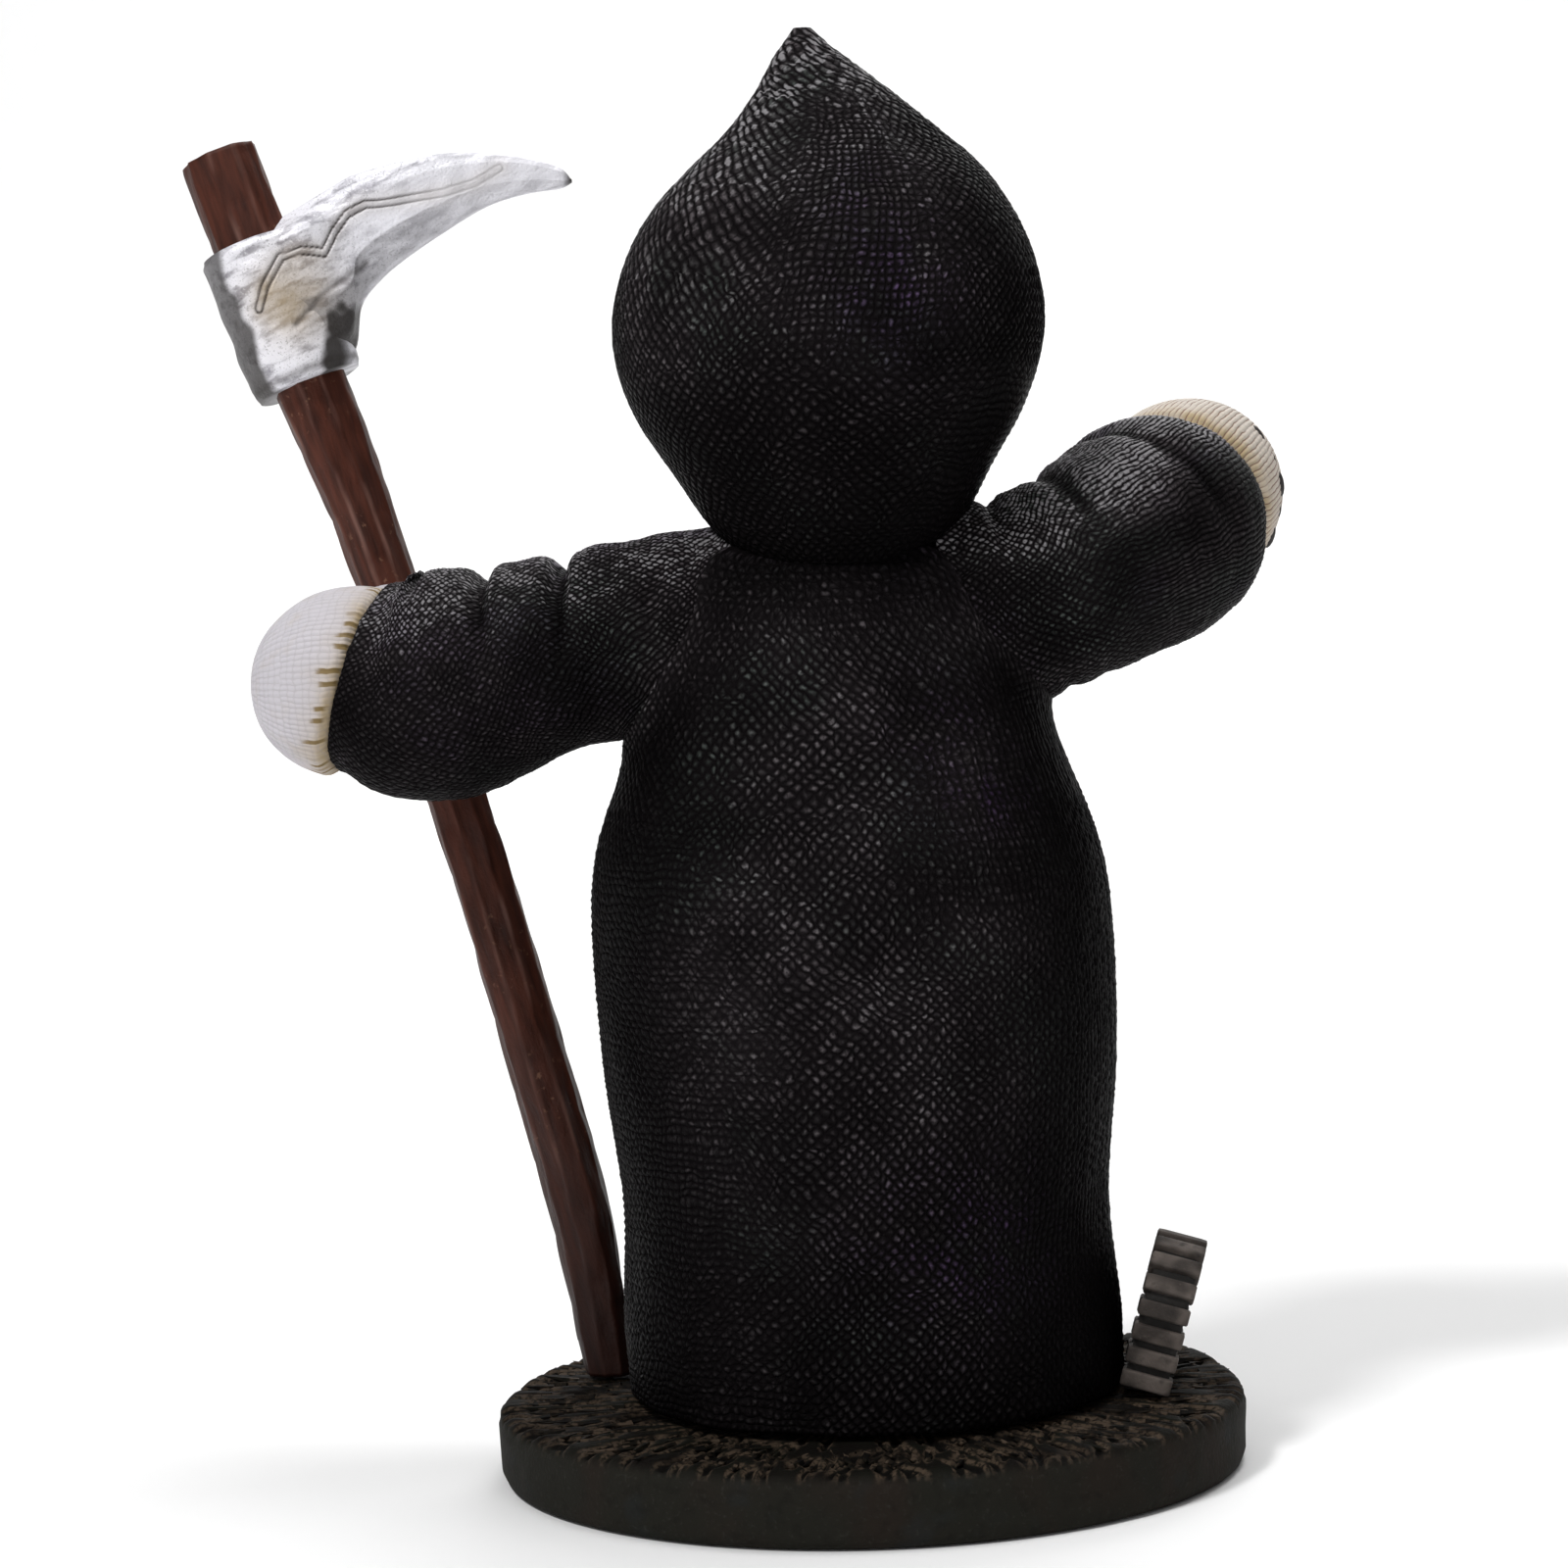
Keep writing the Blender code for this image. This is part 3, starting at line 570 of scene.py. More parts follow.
class Nodes(Tree):
    """The node tree of one material, with short ways to add to it."""

    def __init__(self, name: str) -> None:
        """Starts a material with its shader."""
        self.material = bpy.data.materials.new(name)
        self.material.use_nodes = True
        self.tree = self.material.node_tree
        self.shader = self.tree.nodes["Principled BSDF"]

    def mark(self, name: str) -> Value:
        """Reads a painted value of the mesh."""
        return Value(self, self.node("ShaderNodeAttribute", attribute_name=name).outputs["Fac"])

    def stitch_place(self, patches: tuple[float, float], jitter: float) -> tuple[Value, Value]:
        """Reads the place on the stitch map, shifted a little by noise.

        Args:
            patches: the size of the noise's patches for each of the two places, millimetres.
            jitter: how far the places are shifted, in stitches.

        Returns:
            The place across the stitches and along them.
        """
        place = self.node("ShaderNodeUVMap", uv_map=STITCH_MAP)
        parts = self.node("ShaderNodeSeparateXYZ", {0: place.outputs[0]})
        u, v = (
            Value(self, parts.outputs[k]) + (self.noise(patches[k], 1.0) - 0.5) * jitter for k in (0, 1)
        )
        return u, v

    def place(self, stretch: Triple = (1.0, 1.0, 1.0), lean: Triple = (0.0, 0.0, 0.0)) -> Any:
        """Reads the place on the object.

        Args:
            stretch: how much longer the patches get along each axis.
            lean: degrees by which those axes are turned.

        Returns:
            The socket with the place.
        """
        place = self.node("ShaderNodeTexCoord").outputs["Object"]
        inputs = {"Vector": place, "Rotation": tuple(math.radians(a) for a in lean), "Scale": stretch}
        return self.node("ShaderNodeMapping", inputs, vector_type="TEXTURE").outputs[0]

    def noise(self, size: float, detail: float = 2.0, place: Any = None) -> Value:
        """Gives noise from 0 to 1 whose patches are about a size in millimetres."""
        inputs = {"Vector": place or self.place(), "Scale": 1.0 / (size * MM), "Detail": detail}
        return Value(self, self.node("ShaderNodeTexNoise", inputs).outputs["Fac"])

    def speckle(self, u: Value, v: Value) -> Value:
        """Gives each cell of whole numbers its own number from 0 to 1."""
        both = self.node("ShaderNodeCombineXYZ", {0: u.floor(), 1: v.floor()})
        inputs = {"Vector": both.outputs[0]}
        made = self.node("ShaderNodeTexWhiteNoise", inputs, noise_dimensions="2D")
        return Value(self, made.outputs["Value"])

    def coats(self, colour: Any, *coats: tuple[Any, Any]) -> Any:
        """Lays coats of paint on a colour.

        Args:
            colour: the first colour.
            coats: each coat's cover from 0 to 1 and its colour, the last one on top.

        Returns:
            The socket with the colour.
        """
        for share, coat in coats:
            made = self.node("ShaderNodeMix", {0: share, 6: colour, 7: coat}, data_type="RGBA")
            colour = made.outputs[2]
        return colour

    def dress(self, colour: Any, rough: Any, height: Any = None, deep: float = 0.1, **fixed: Any) -> Material:
        """Feeds the shader.

        Args:
            colour: base colour.
            rough: roughness.
            height: bump height from 0 to 1, if the surface has one.
            deep: the bump's depth in millimetres.
            fixed: what else the shader's own sockets get, by name with _ for a space.

        Returns:
            The material.
        """
        if height is not None:
            inputs = {"Height": height, "Distance": deep * MM, "Strength": 1.0}
            fixed["Normal"] = self.node("ShaderNodeBump", inputs).outputs[0]
        for key, value in {"Base_Color": colour, "Roughness": rough, **fixed}.items():
            self.feed(self.shader.inputs[key.replace("_", " ")], value)
        return self.material


@dataclass(frozen=True)
class BlackKnit:
    """Satin black paint over cast knitting, dry-brushed grey on the stitches, with painted glints on them and
    painted light and shade over the body.
    """

    valley: Colour = (0.0017, 0.0013, 0.0015)
    satin: Colour = (0.0080, 0.0066, 0.0073)
    top: Colour = (0.088, 0.077, 0.082)
    green: Colour = (0.063, 0.073, 0.067)
    purple: Colour = (0.100, 0.058, 0.135)
    glint: Colour = (0.235, 0.225, 0.235)
    jitter: float = 0.50
    narrowing: float = 5.5
    depth: float = 0.24
    shine: float = 0.016

    def material(self) -> Material:
        """Builds the material."""
        n = Nodes("black_knit")
        u, v = n.stitch_place((0.9, 1.0), self.jitter)
        marks = {form: n.mark(form) for form in STITCH_FORMS}
        stitch = stitches(u, v, marks)
        yarn, tone = n.noise(0.28, 3.0), n.mark("tone")
        own = n.speckle(u + v, u - v).toward(n.noise(0.7), marks["columns"] * 0.85)
        # The dry-brushed grey on the stitch tops also stands in for painted glints, and the mesh mark that
        # scales it holds painted light and shade.
        brush = (stitch**self.narrowing) * (own * own * 1.15 + 0.28) * tone * (yarn * 2.0).step(0.35, 1.3)
        lit = n.coats(
            self.top,
            (n.noise(9.0).step(0.45, 0.7), self.green),
            # Painted glints on the brightest stitches.
            ((own * tone * yarn).step(0.45, 1.7), self.glint),
            (n.mark("tint") * n.noise(3.0).step(0.35, 0.6), self.purple),
        )
        # The satin ground follows the same mark, so it carries painted shade as well.
        colour = n.coats(self.valley, (tone * 0.60, self.satin), (brush, lit))
        height = stitch * (own * 0.4 + 0.6) + yarn * 0.3
        rough = 0.66 - stitch * 0.40 + yarn * 0.10
        return n.dress(colour, rough, height, self.depth, Specular_IOR_Level=self.shine)


@dataclass(frozen=True)
class CreamKnit:
    """Cream paint on fine ribs, with an ochre wash, thin brown lines between the ribs, painted shade in the
    knit's gaps and where a hand goes into its cuff.
    """

    name: str
    cream: Colour = (0.60, 0.575, 0.615)
    ochre: Colour = (0.46, 0.33, 0.14)
    weave_shade: Colour = (0.36, 0.33, 0.33)
    line: Colour = (0.20, 0.11, 0.07)
    seam: Colour = (0.20, 0.13, 0.035)
    black_and_cuff_shade: Colour = (0.004, 0.003, 0.004)
    line_share: float = 0.0
    weave_shade_share: float = 0.27
    seam_share: float = 0.9
    jitter: float = 0.7
    depth: float = 0.08

    def material(self) -> Material:
        """Builds the material."""
        n = Nodes(self.name)
        u, v = n.stitch_place((1.4, 1.5), self.jitter)
        rib, cross = u.ridge(), (v * 1.5).ridge()
        mottle, fine = n.noise(2.2, 3.0), n.noise(0.3)
        own = n.speckle(u * 0.5, u * 0.0)
        seam = (u * 0.5).ridge().step(0.70, 0.86) * n.mark("band") * own.step(0.25, 0.6)
        colour = n.coats(
            self.cream,
            (mottle.step(0.5, 0.8) * 0.15 + n.mark("wash") * 0.8, self.ochre),
            # Painted shade in the gaps between the ribs and rows.
            ((1.0 - (rib * cross).step(0.0, 0.35)) * self.weave_shade_share, self.weave_shade),
            ((1.0 - rib.step(0.0, 0.5)) * self.line_share * mottle.step(0.25, 0.55), self.line),
            (seam * self.seam_share, self.seam),
            # Black paint on the face's eyes, nose and mouth, and painted shade where a hand goes into its
            # cuff.
            (n.mark("dark"), self.black_and_cuff_shade),
        )
        height = rib * 0.5 + rib * cross * 0.5 + fine * 0.3
        return n.dress(colour, 0.62 + fine * 0.12, height, self.depth, Specular_IOR_Level=0.2)


@dataclass(frozen=True)
class BlackThread:
    """Black painted stitches."""

    black: Colour = (0.010, 0.008, 0.008)
    grey: Colour = (0.035, 0.028, 0.026)

    def material(self) -> Material:
        """Builds the material."""
        n = Nodes("black_thread")
        twist = n.noise(0.25)
        return n.dress(n.coats(self.black, (twist, self.grey)), 0.5 + twist * 0.2, twist, 0.05)


@dataclass(frozen=True)
class WornShaft:
    """Dark red-brown paint on whittled wood grain, worn pale along the edges, with painted shade darkening it
    towards the foot.
    """

    deep: Colour = (0.026, 0.0070, 0.0042)
    brown: Colour = (0.100, 0.0275, 0.0150)
    worn: Colour = (0.24, 0.125, 0.100)
    chip: Colour = (0.30, 0.15, 0.09)
    foot: Colour = (0.0080, 0.0026, 0.0018)
    stretch: Triple = (1.0, 1.0, 7.0)
    lean: Triple = (6.7, 16.1, 0.0)

    def material(self) -> Material:
        """Builds the material."""
        n = Nodes("worn_shaft")
        along = n.place(self.stretch, self.lean)
        grain, streak = n.noise(0.7, 3.0, along), n.noise(1.6, 2.0, along)
        fine, patch = n.noise(0.3), n.noise(9.0)
        colour = n.coats(
            self.deep,
            (grain.step(0.10, 0.90), self.brown),
            (n.mark("edge") * streak.step(0.36, 0.62) * patch.step(0.35, 0.60) * 0.75, self.worn),
            (n.noise(0.8, 3.0).step(0.62, 0.74) * patch.step(0.45, 0.62) * 0.5, self.chip),
            # Painted shade, darkening the shaft towards its foot.
            ((1.0 - n.mark("light")) * 0.85, self.foot),
        )
        height = grain * 0.6 + streak * 0.3 + fine * 0.3
        return n.dress(colour, 0.42 + grain * 0.2, height, 0.14, Specular_IOR_Level=0.18)


@dataclass(frozen=True)
class SilverBlade:
    """Silver paint with brown settled in the grooves, a grey coat, and painted shade on the socket and the
    lower bevel.
    """

    silver: Colour = (0.93, 0.92, 0.98)
    bright: Colour = (0.97, 0.97, 1.0)
    grey: Colour = (0.30, 0.29, 0.33)
    speck: Colour = (0.16, 0.16, 0.17)
    wash: Colour = (0.40, 0.30, 0.17)
    grime: Colour = (0.030, 0.017, 0.010)
    dark: Colour = (0.026, 0.021, 0.018)
    metallic: float = 0.16

    def material(self) -> Material:
        """Builds the material."""
        n = Nodes("silver_blade")
        fine, cloud = n.noise(0.30, 3.0), n.noise(3.5, 3.0)
        brush = n.noise(1.0, 3.0, n.place((3.0, 1.0, 0.8), (0.0, 25.0, 0.0)))
        groove, film = n.mark("groove"), n.mark("film")
        colour = n.coats(
            self.silver,
            # The grey coat also holds painted shade on the lower bevel.
            ((cloud * 0.30 + brush * 0.70).step(0.44, 0.64) * film * 0.80, self.grey),
            (n.noise(0.18).step(0.58, 0.68) * 0.45 * film, self.speck),
            (fine.step(0.55, 0.70) * 0.5, self.bright),
            (n.mark("wash") * (cloud * 0.8 + 0.4), self.wash),
            (groove, self.grime),
            # Dark: the dark tip, and painted shade on the socket's side, in a patch low beside it and on the
            # lower bevel.
            (n.mark("dark"), self.dark),
        )
        rough = 0.36 + fine * 0.2 + groove * 0.3
        return n.dress(
            colour, rough, fine * 0.5 + brush * 0.7, 0.16, Metallic=(1.0 - groove) * self.metallic
        )


@dataclass(frozen=True)
class TurfPaint:
    """Dark olive and brown turf with paler brushed tips over a grey-green side."""

    gouge: Colour = (0.0014, 0.0010, 0.0007)
    earth: Colour = (0.0028, 0.0019, 0.0012)
    olive: Colour = (0.0042, 0.0042, 0.0024)
    tip: Colour = (0.058, 0.041, 0.028)
    side: Colour = (0.0135, 0.0130, 0.0100)
    brown: Colour = (0.017, 0.0130, 0.0100)
    blue: Colour = (0.0150, 0.0175, 0.0180)
    stain: Colour = (0.0045, 0.0040, 0.0035)
    fleck: Colour = (0.040, 0.040, 0.034)

    def material(self) -> Material:
        """Builds the material."""
        n = Nodes("turf_base")
        height, patch, fine = n.mark("relief"), n.noise(5.0), n.noise(0.4, 3.0)
        lip = height.step(0.42, 0.62) * (1.0 - height.step(0.80, 0.97))
        ground = n.coats(self.earth, (patch.step(0.4, 0.65), self.olive))
        top = n.coats(
            self.gouge,
            (height.step(0.1, 0.7), ground),
            (lip * fine.step(0.30, 0.60) * patch.step(0.25, 0.55), self.tip),
        )
        colour = n.coats(
            self.side,
            (n.noise(7.0, 3.0, n.place((1.0, 1.0, 1.8))).step(0.4, 0.7), self.brown),
            (patch.step(0.58, 0.72) * 0.5, self.blue),
            (n.noise(1.2, 3.0).step(0.5, 0.75) * 0.35, self.stain),
            (fine.step(0.55, 0.8) * 0.40, self.fleck),
            (n.mark("rim"), top),
        )
        bump = fine * 0.6 + n.noise(1.4) * 0.4
        return n.dress(colour, 0.72 + fine * 0.15, bump, 0.12, Specular_IOR_Level=0.08)


@dataclass(frozen=True)
class GrassPaint:
    """Short carved blades, dark at the foot and paler at the tip."""

    foot: Colour = (0.0012, 0.0009, 0.0007)
    brown: Colour = (0.0095, 0.0066, 0.0040)
    tip: Colour = (0.066, 0.047, 0.033)
    olive: Colour = (0.0080, 0.0085, 0.0045)

    def material(self) -> Material:
        """Builds the material."""
        n = Nodes("turf_blades")
        patch = n.noise(1.3)
        colour = n.coats(
            self.foot,
            (patch.step(0.38, 0.55), self.brown),
            (patch.step(0.54, 0.64), self.tip),
            (n.noise(6.0).step(0.5, 0.7) * 0.4, self.olive),
        )
        return n.dress(colour, 0.70 + patch * 0.1, patch, 0.06, Specular_IOR_Level=0.10)


@dataclass(frozen=True)
class StonePaint:
    """Grey-brown stone, mottled and pitted, dark in the joints."""

    name: str
    dark: Colour = (0.012, 0.009, 0.007)
    grey: Colour = (0.028, 0.021, 0.017)
    pale: Colour = (0.118, 0.096, 0.083)

    def material(self) -> Material:
        """Builds the material."""
        n = Nodes(self.name)
        fine, patch = n.noise(0.3, 3.0), n.noise(1.0, 3.0)
        colour = n.coats(
            self.grey,
            (n.noise(2.6, 1.0).step(0.35, 0.7), self.pale),
            (patch.step(0.5, 0.75) * 0.7, self.dark),
            (fine.step(0.6, 0.8) * 0.4, self.pale),
        )
        return n.dress(colour, 0.75 + fine * 0.15, fine * 0.5 + patch * 0.5, 0.14)


@dataclass(frozen=True)
class PaleFloor:
    """Plain pale paper."""

    paper: Colour = (0.93, 0.93, 0.93)

    def material(self) -> Material:
        """Builds the material."""
        return Nodes("pale_floor").dress(self.paper, 0.9, Specular_IOR_Level=0.1)


# Repeating patterns


class Pattern(Tree):
    """A geometry node tree with named inputs that ends in Realize Instances and Set Material."""

    def __init__(self, name: str, sizes: dict[str, Any]) -> None:
        """Starts the tree.

        Args:
            name: the tree's name.
            sizes: each named input and its value, a number, a whole number or three numbers.
        """
        self.sizes = sizes
        self.tree = bpy.data.node_groups.new(name, "GeometryNodeTree")
        face = self.tree.interface
        face.new_socket("Geometry", in_out="INPUT", socket_type="NodeSocketGeometry")
        kinds = {int: "Int", float: "Float", tuple: "Vector"}
        for key, value in sizes.items():
            face.new_socket(key, in_out="INPUT", socket_type="NodeSocket" + kinds[type(value)])
        face.new_socket("Geometry", in_out="OUTPUT", socket_type="NodeSocketGeometry")
        self.size = self.tree.nodes.new("NodeGroupInput").outputs

    def even_points(self) -> Any:
        """Spaces points evenly along the host's line."""
        line = self.node("GeometryNodeMeshToCurve", {0: self.size["Geometry"]}).outputs[0]
        inputs = {"Curve": line, "Count": self.size["Count"]}
        return self.node("GeometryNodeResampleCurve", inputs).outputs[0]

    def tangent(self) -> Any:
        """Reads the way of the host's line."""
        return self.node("GeometryNodeInputTangent").outputs[0]

    def rounded(self, shape: Any) -> Any:
        """Shades a shape smooth."""
        inputs = {"Geometry": shape, "Shade Smooth": True}
        return self.node("GeometryNodeSetShadeSmooth", inputs).outputs[0]

    def vector(self, operation: str, inputs: dict[Any, Any]) -> Any:
        """Does a sum with three numbers at a time."""
        return self.node("ShaderNodeVectorMath", inputs, operation=operation).outputs[0]

    def chance(self, low: Any, high: Any) -> Any:
        """Gives each copy its own number from low to high."""
        inputs = {2: low, 3: high, "Seed": self.size["Seed"]}
        return self.node("FunctionNodeRandomValue", inputs, data_type="FLOAT").outputs[1]

    def turned(self, axis: str, way: Any) -> Any:
        """Turns an axis of each copy to a direction."""
        return self.node("FunctionNodeAlignRotationToVector", {"Vector": way}, axis=axis).outputs[0]

    def make(
        self, host: Piece, points: Any, shape: Any, rotation: Any, material: Material, name: str, **scale: Any
    ) -> Piece:
        """Puts a copy of the shape on each point, ends the tree and keeps the result as a plain mesh.

        Args:
            host: the object whose mesh the tree starts from, removed afterwards.
            points: the socket with the points.
            shape: the socket with the shape.
            rotation: the socket with each copy's turn.
            material: the finish.
            name: the piece's name.
            scale: each copy's size as Scale, if it isn't 1.

        Returns:
            The new piece.
        """
        inputs = {"Points": points, "Instance": shape, "Rotation": rotation, **scale}
        copies = self.node("GeometryNodeInstanceOnPoints", inputs).outputs[0]
        real = self.node("GeometryNodeRealizeInstances", {0: copies}).outputs[0]
        painted = self.node("GeometryNodeSetMaterial", {"Geometry": real, "Material": material})
        self.node("NodeGroupOutput", {0: painted.outputs[0]})
        modifier = host.modifiers.new(name, "NODES")
        modifier.node_group = self.tree
        for item in self.tree.interface.items_tree:
            if item.item_type == "SOCKET" and item.name in self.sizes:
                modifier[item.identifier] = self.sizes[item.name]
        graph = bpy.context.evaluated_depsgraph_get()
        graph.update()
        mesh = bpy.data.meshes.new_from_object(host.evaluated_get(graph))
        mesh.name = name
        bpy.data.objects.remove(host)
        return add_object(name, mesh)


def host_line(name: str, points: Array) -> Piece:
    """Makes an object that holds one line of straight stretches, its points in millimetres."""
    return plain_object(name, points * MM, [(k, k + 1) for k in range(len(points) - 1)], [])


@dataclass
class StitchRow:
    """Thread stitches along a line on a surface.

    Attributes:
        name: the piece's name.
        length: each stitch's length.
        width: its width.
        count: how many there are.
        crosswise: the direction of each stitch where it doesn't follow the line.
        smallest: the smallest stitch's share of the full size.
    """

    name: str
    length: float
    width: float
    count: int
    crosswise: Triple | None = None
    smallest: float = 0.9

    def build(self, points: Array, material: Material) -> None:
        """Builds the stitches.

        Args:
            points: the line, millimetres.
            material: the finish.
        """
        sizes = {"Count": self.count, "Length": self.length * MM, "Width": self.width * MM}
        sizes |= {"Across": self.crosswise or (0.0, 0.0, 1.0), "Smallest": self.smallest, "Seed": 4}
        pattern = Pattern(self.name, sizes)
        size = pattern.size
        ball = pattern.node("GeometryNodeMeshUVSphere", {"Segments": 10, "Rings": 8, "Radius": 0.5})
        whole = pattern.node("ShaderNodeCombineXYZ", {0: size["Length"], 1: size["Width"], 2: size["Width"]})
        scale = pattern.vector("SCALE", {0: whole.outputs[0], "Scale": pattern.chance(size["Smallest"], 1.0)})
        way = size["Across"] if self.crosswise else pattern.tangent()
        host = host_line(self.name + "_line", points)
        shape = pattern.rounded(ball.outputs["Mesh"])
        turned = pattern.turned("X", way)
        made = pattern.make(host, pattern.even_points(), shape, turned, material, self.name, Scale=scale)
        settle(made, "figure")


# Sub-assemblies


class Slot(Enum):
    """The record's material slots."""

    TURF = "turf_base"
    BLACK = "black_knit"
    SHAFT = "scythe_paint"
    STONE = "grey_stone"
    CREAM = "cream_knit"
    SILVER = "silver_blade"


def settle(piece: Piece, node: str, material: Material | None = None) -> None:
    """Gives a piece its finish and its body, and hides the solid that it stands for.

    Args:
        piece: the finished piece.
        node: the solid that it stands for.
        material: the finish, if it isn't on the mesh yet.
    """
    if material is not None:
        piece.data.materials.clear()
        piece.data.materials.append(material)
    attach(piece, BODY)
    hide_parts(node)
    LOG.info("%s: %d faces", piece.name, len(piece.data.polygons))


@dataclass
class Robe:
    """The knitted robe from the turf to under the hood."""

    half_width: float = 23.5
    half_depth: float = 22.4
    height: float = 82.0
    lean: float = 1.0
    top_share: float = 0.93
    shoulder: float = 3.4
    columns: int = 408
    pitch: float = 1.08
    relief: float = 0.20
    spots: tuple = (
        (-7.0, 93.0, 6.0, 9.0, 1.0), (-12.0, 62.0, 5.0, 3.0, 1.0), (6.0, 88.0, 5.0, 4.0, 0.7),
        (-11.0, 23.0, 10.0, 7.0, 1.0), (-8.0, 68.0, 4.0, 5.0, 0.5),
    )
    profile: tuple = (
        (0.00, 0.950, 0.985), (0.08, 0.962, 0.985), (0.21, 0.936, 0.940), (0.36, 0.987, 0.955),
        (0.50, 1.000, 0.955), (0.60, 0.965, 0.910), (0.71, 0.830, 0.790), (0.80, 0.740, 0.680),
        (0.90, 0.600, 0.580), (1.00, 0.470, 0.480),
    )

    def section(self, share: Array) -> tuple[Array, ...]:
        """Gives the robe's rings.

        Args:
            share: shares of the height.

        Returns:
            Half width, half depth and middle X at the shares.
        """
        _, wide, deep = curve_at(self.profile, share)
        over = (share - self.top_share) * self.height / self.shoulder + 1.0
        inset = self.shoulder * (1.0 - np.sqrt(1.0 - np.clip(over, 0.0, 1.0) ** 2))
        middle = self.lean * (np.minimum(1.0, share / 0.6) - 0.5)
        return self.half_width * wide - inset, self.half_depth * deep - inset, middle

    def distance(self, points: Array) -> tuple[Array, Array]:
        """Tells where places are beside the robe.

        Args:
            points: the places.

        Returns:
            How far they are outside the robe, and its outward direction there.
        """
        share = np.clip((points[..., 2] - SEAT) / self.height, 0.0, self.top_share)
        wide, deep, middle = self.section(share)
        across = (points[..., 0] - middle) / wide
        along = points[..., 1] / deep
        over = np.maximum(0.0, points[..., 2] - SEAT - self.height * self.top_share)
        away = (np.hypot(across, along) - 1.0) * np.minimum(wide, deep) + over
        outward = unit(np.stack([across / wide, along / deep, np.zeros_like(across)], -1))
        return away, outward + (0.3 * ease(0.5, 0.8, share))[..., None] * UP

    def build(self, material: Material, arms: Sequence["Sleeve"]) -> None:
        """Builds the robe, with soft curves where the sleeves leave it.

        Args:
            material: the finish.
            arms: the two sleeves.
        """
        rows = round(self.height * self.top_share / self.pitch) * PER_STITCH + 1
        share = np.linspace(0.0, self.top_share, rows)
        tall = share[:, None]
        angle = full_turn(self.columns) + 0.10 * np.sin(tall * 4.0)
        rings = (*self.section(share), 0.0, SEAT + self.height * share)
        around = math.pi * sum(self.section(share[1::PER_STITCH])[:2])
        grid = knit_grid(rings, angle, around, self.pitch)
        points = grid.points
        grid.wander(100)
        joined = np.zeros(angle.shape)
        for arm in arms:
            joined = np.maximum(joined, soft_join(grid, *arm.distance(grid.points), arm.join))

        left = ease(0.35, 0.95, np.cos(angle - math.radians(20)))
        right = ease(0.55, 0.98, np.cos(angle - math.radians(158)))
        # Painted shade: the brushing dims towards the sides, under the hood and towards the foot; cloud
        # varies it at random.
        edge = ease(0.40, 0.90, np.abs(np.cos(angle))) * (1.0 - joined)
        neck = 1.0 - 0.85 * ease(0.84, 0.93, tall)
        neck = neck + (1.0 - neck) * joined
        foot = 0.35 + 0.65 * ease(0.05, 0.50, tall)
        cloud = 0.45 + 1.1 * value_noise(points, 5.0, 8)
        grid.marks.update(
            slant=0.5 * ease(0.45, 0.65, value_noise(points, 9.0, 5)),
            squares=0.5 * ease(0.5, 0.7, value_noise(points, 8.0, 6)),
            rows=0.5 * left * (1.0 - ease(0.55, 0.75, tall)),
            columns=0.5 * right,
            tone=1.25 * neck * foot * cloud * (1.0 - 0.94 * edge),
            tint=soft_spots(points, self.spots),
        )
        folds = 0.5 * dents(points * (1.0, 1.0, 0.35), 7.0, 3)
        hem = 0.15 * (1.0 - ease(0.0, 0.05, tall)) * (np.sin(9 * angle) + np.sin(14 * angle + 1))
        inset = -0.25 * (1.0 - ease(0.0, 0.006, tall))
        grid.raised(folds + hem + inset + knit(grid, self.relief))
        settle(grid.build("robe"), "figure", material)


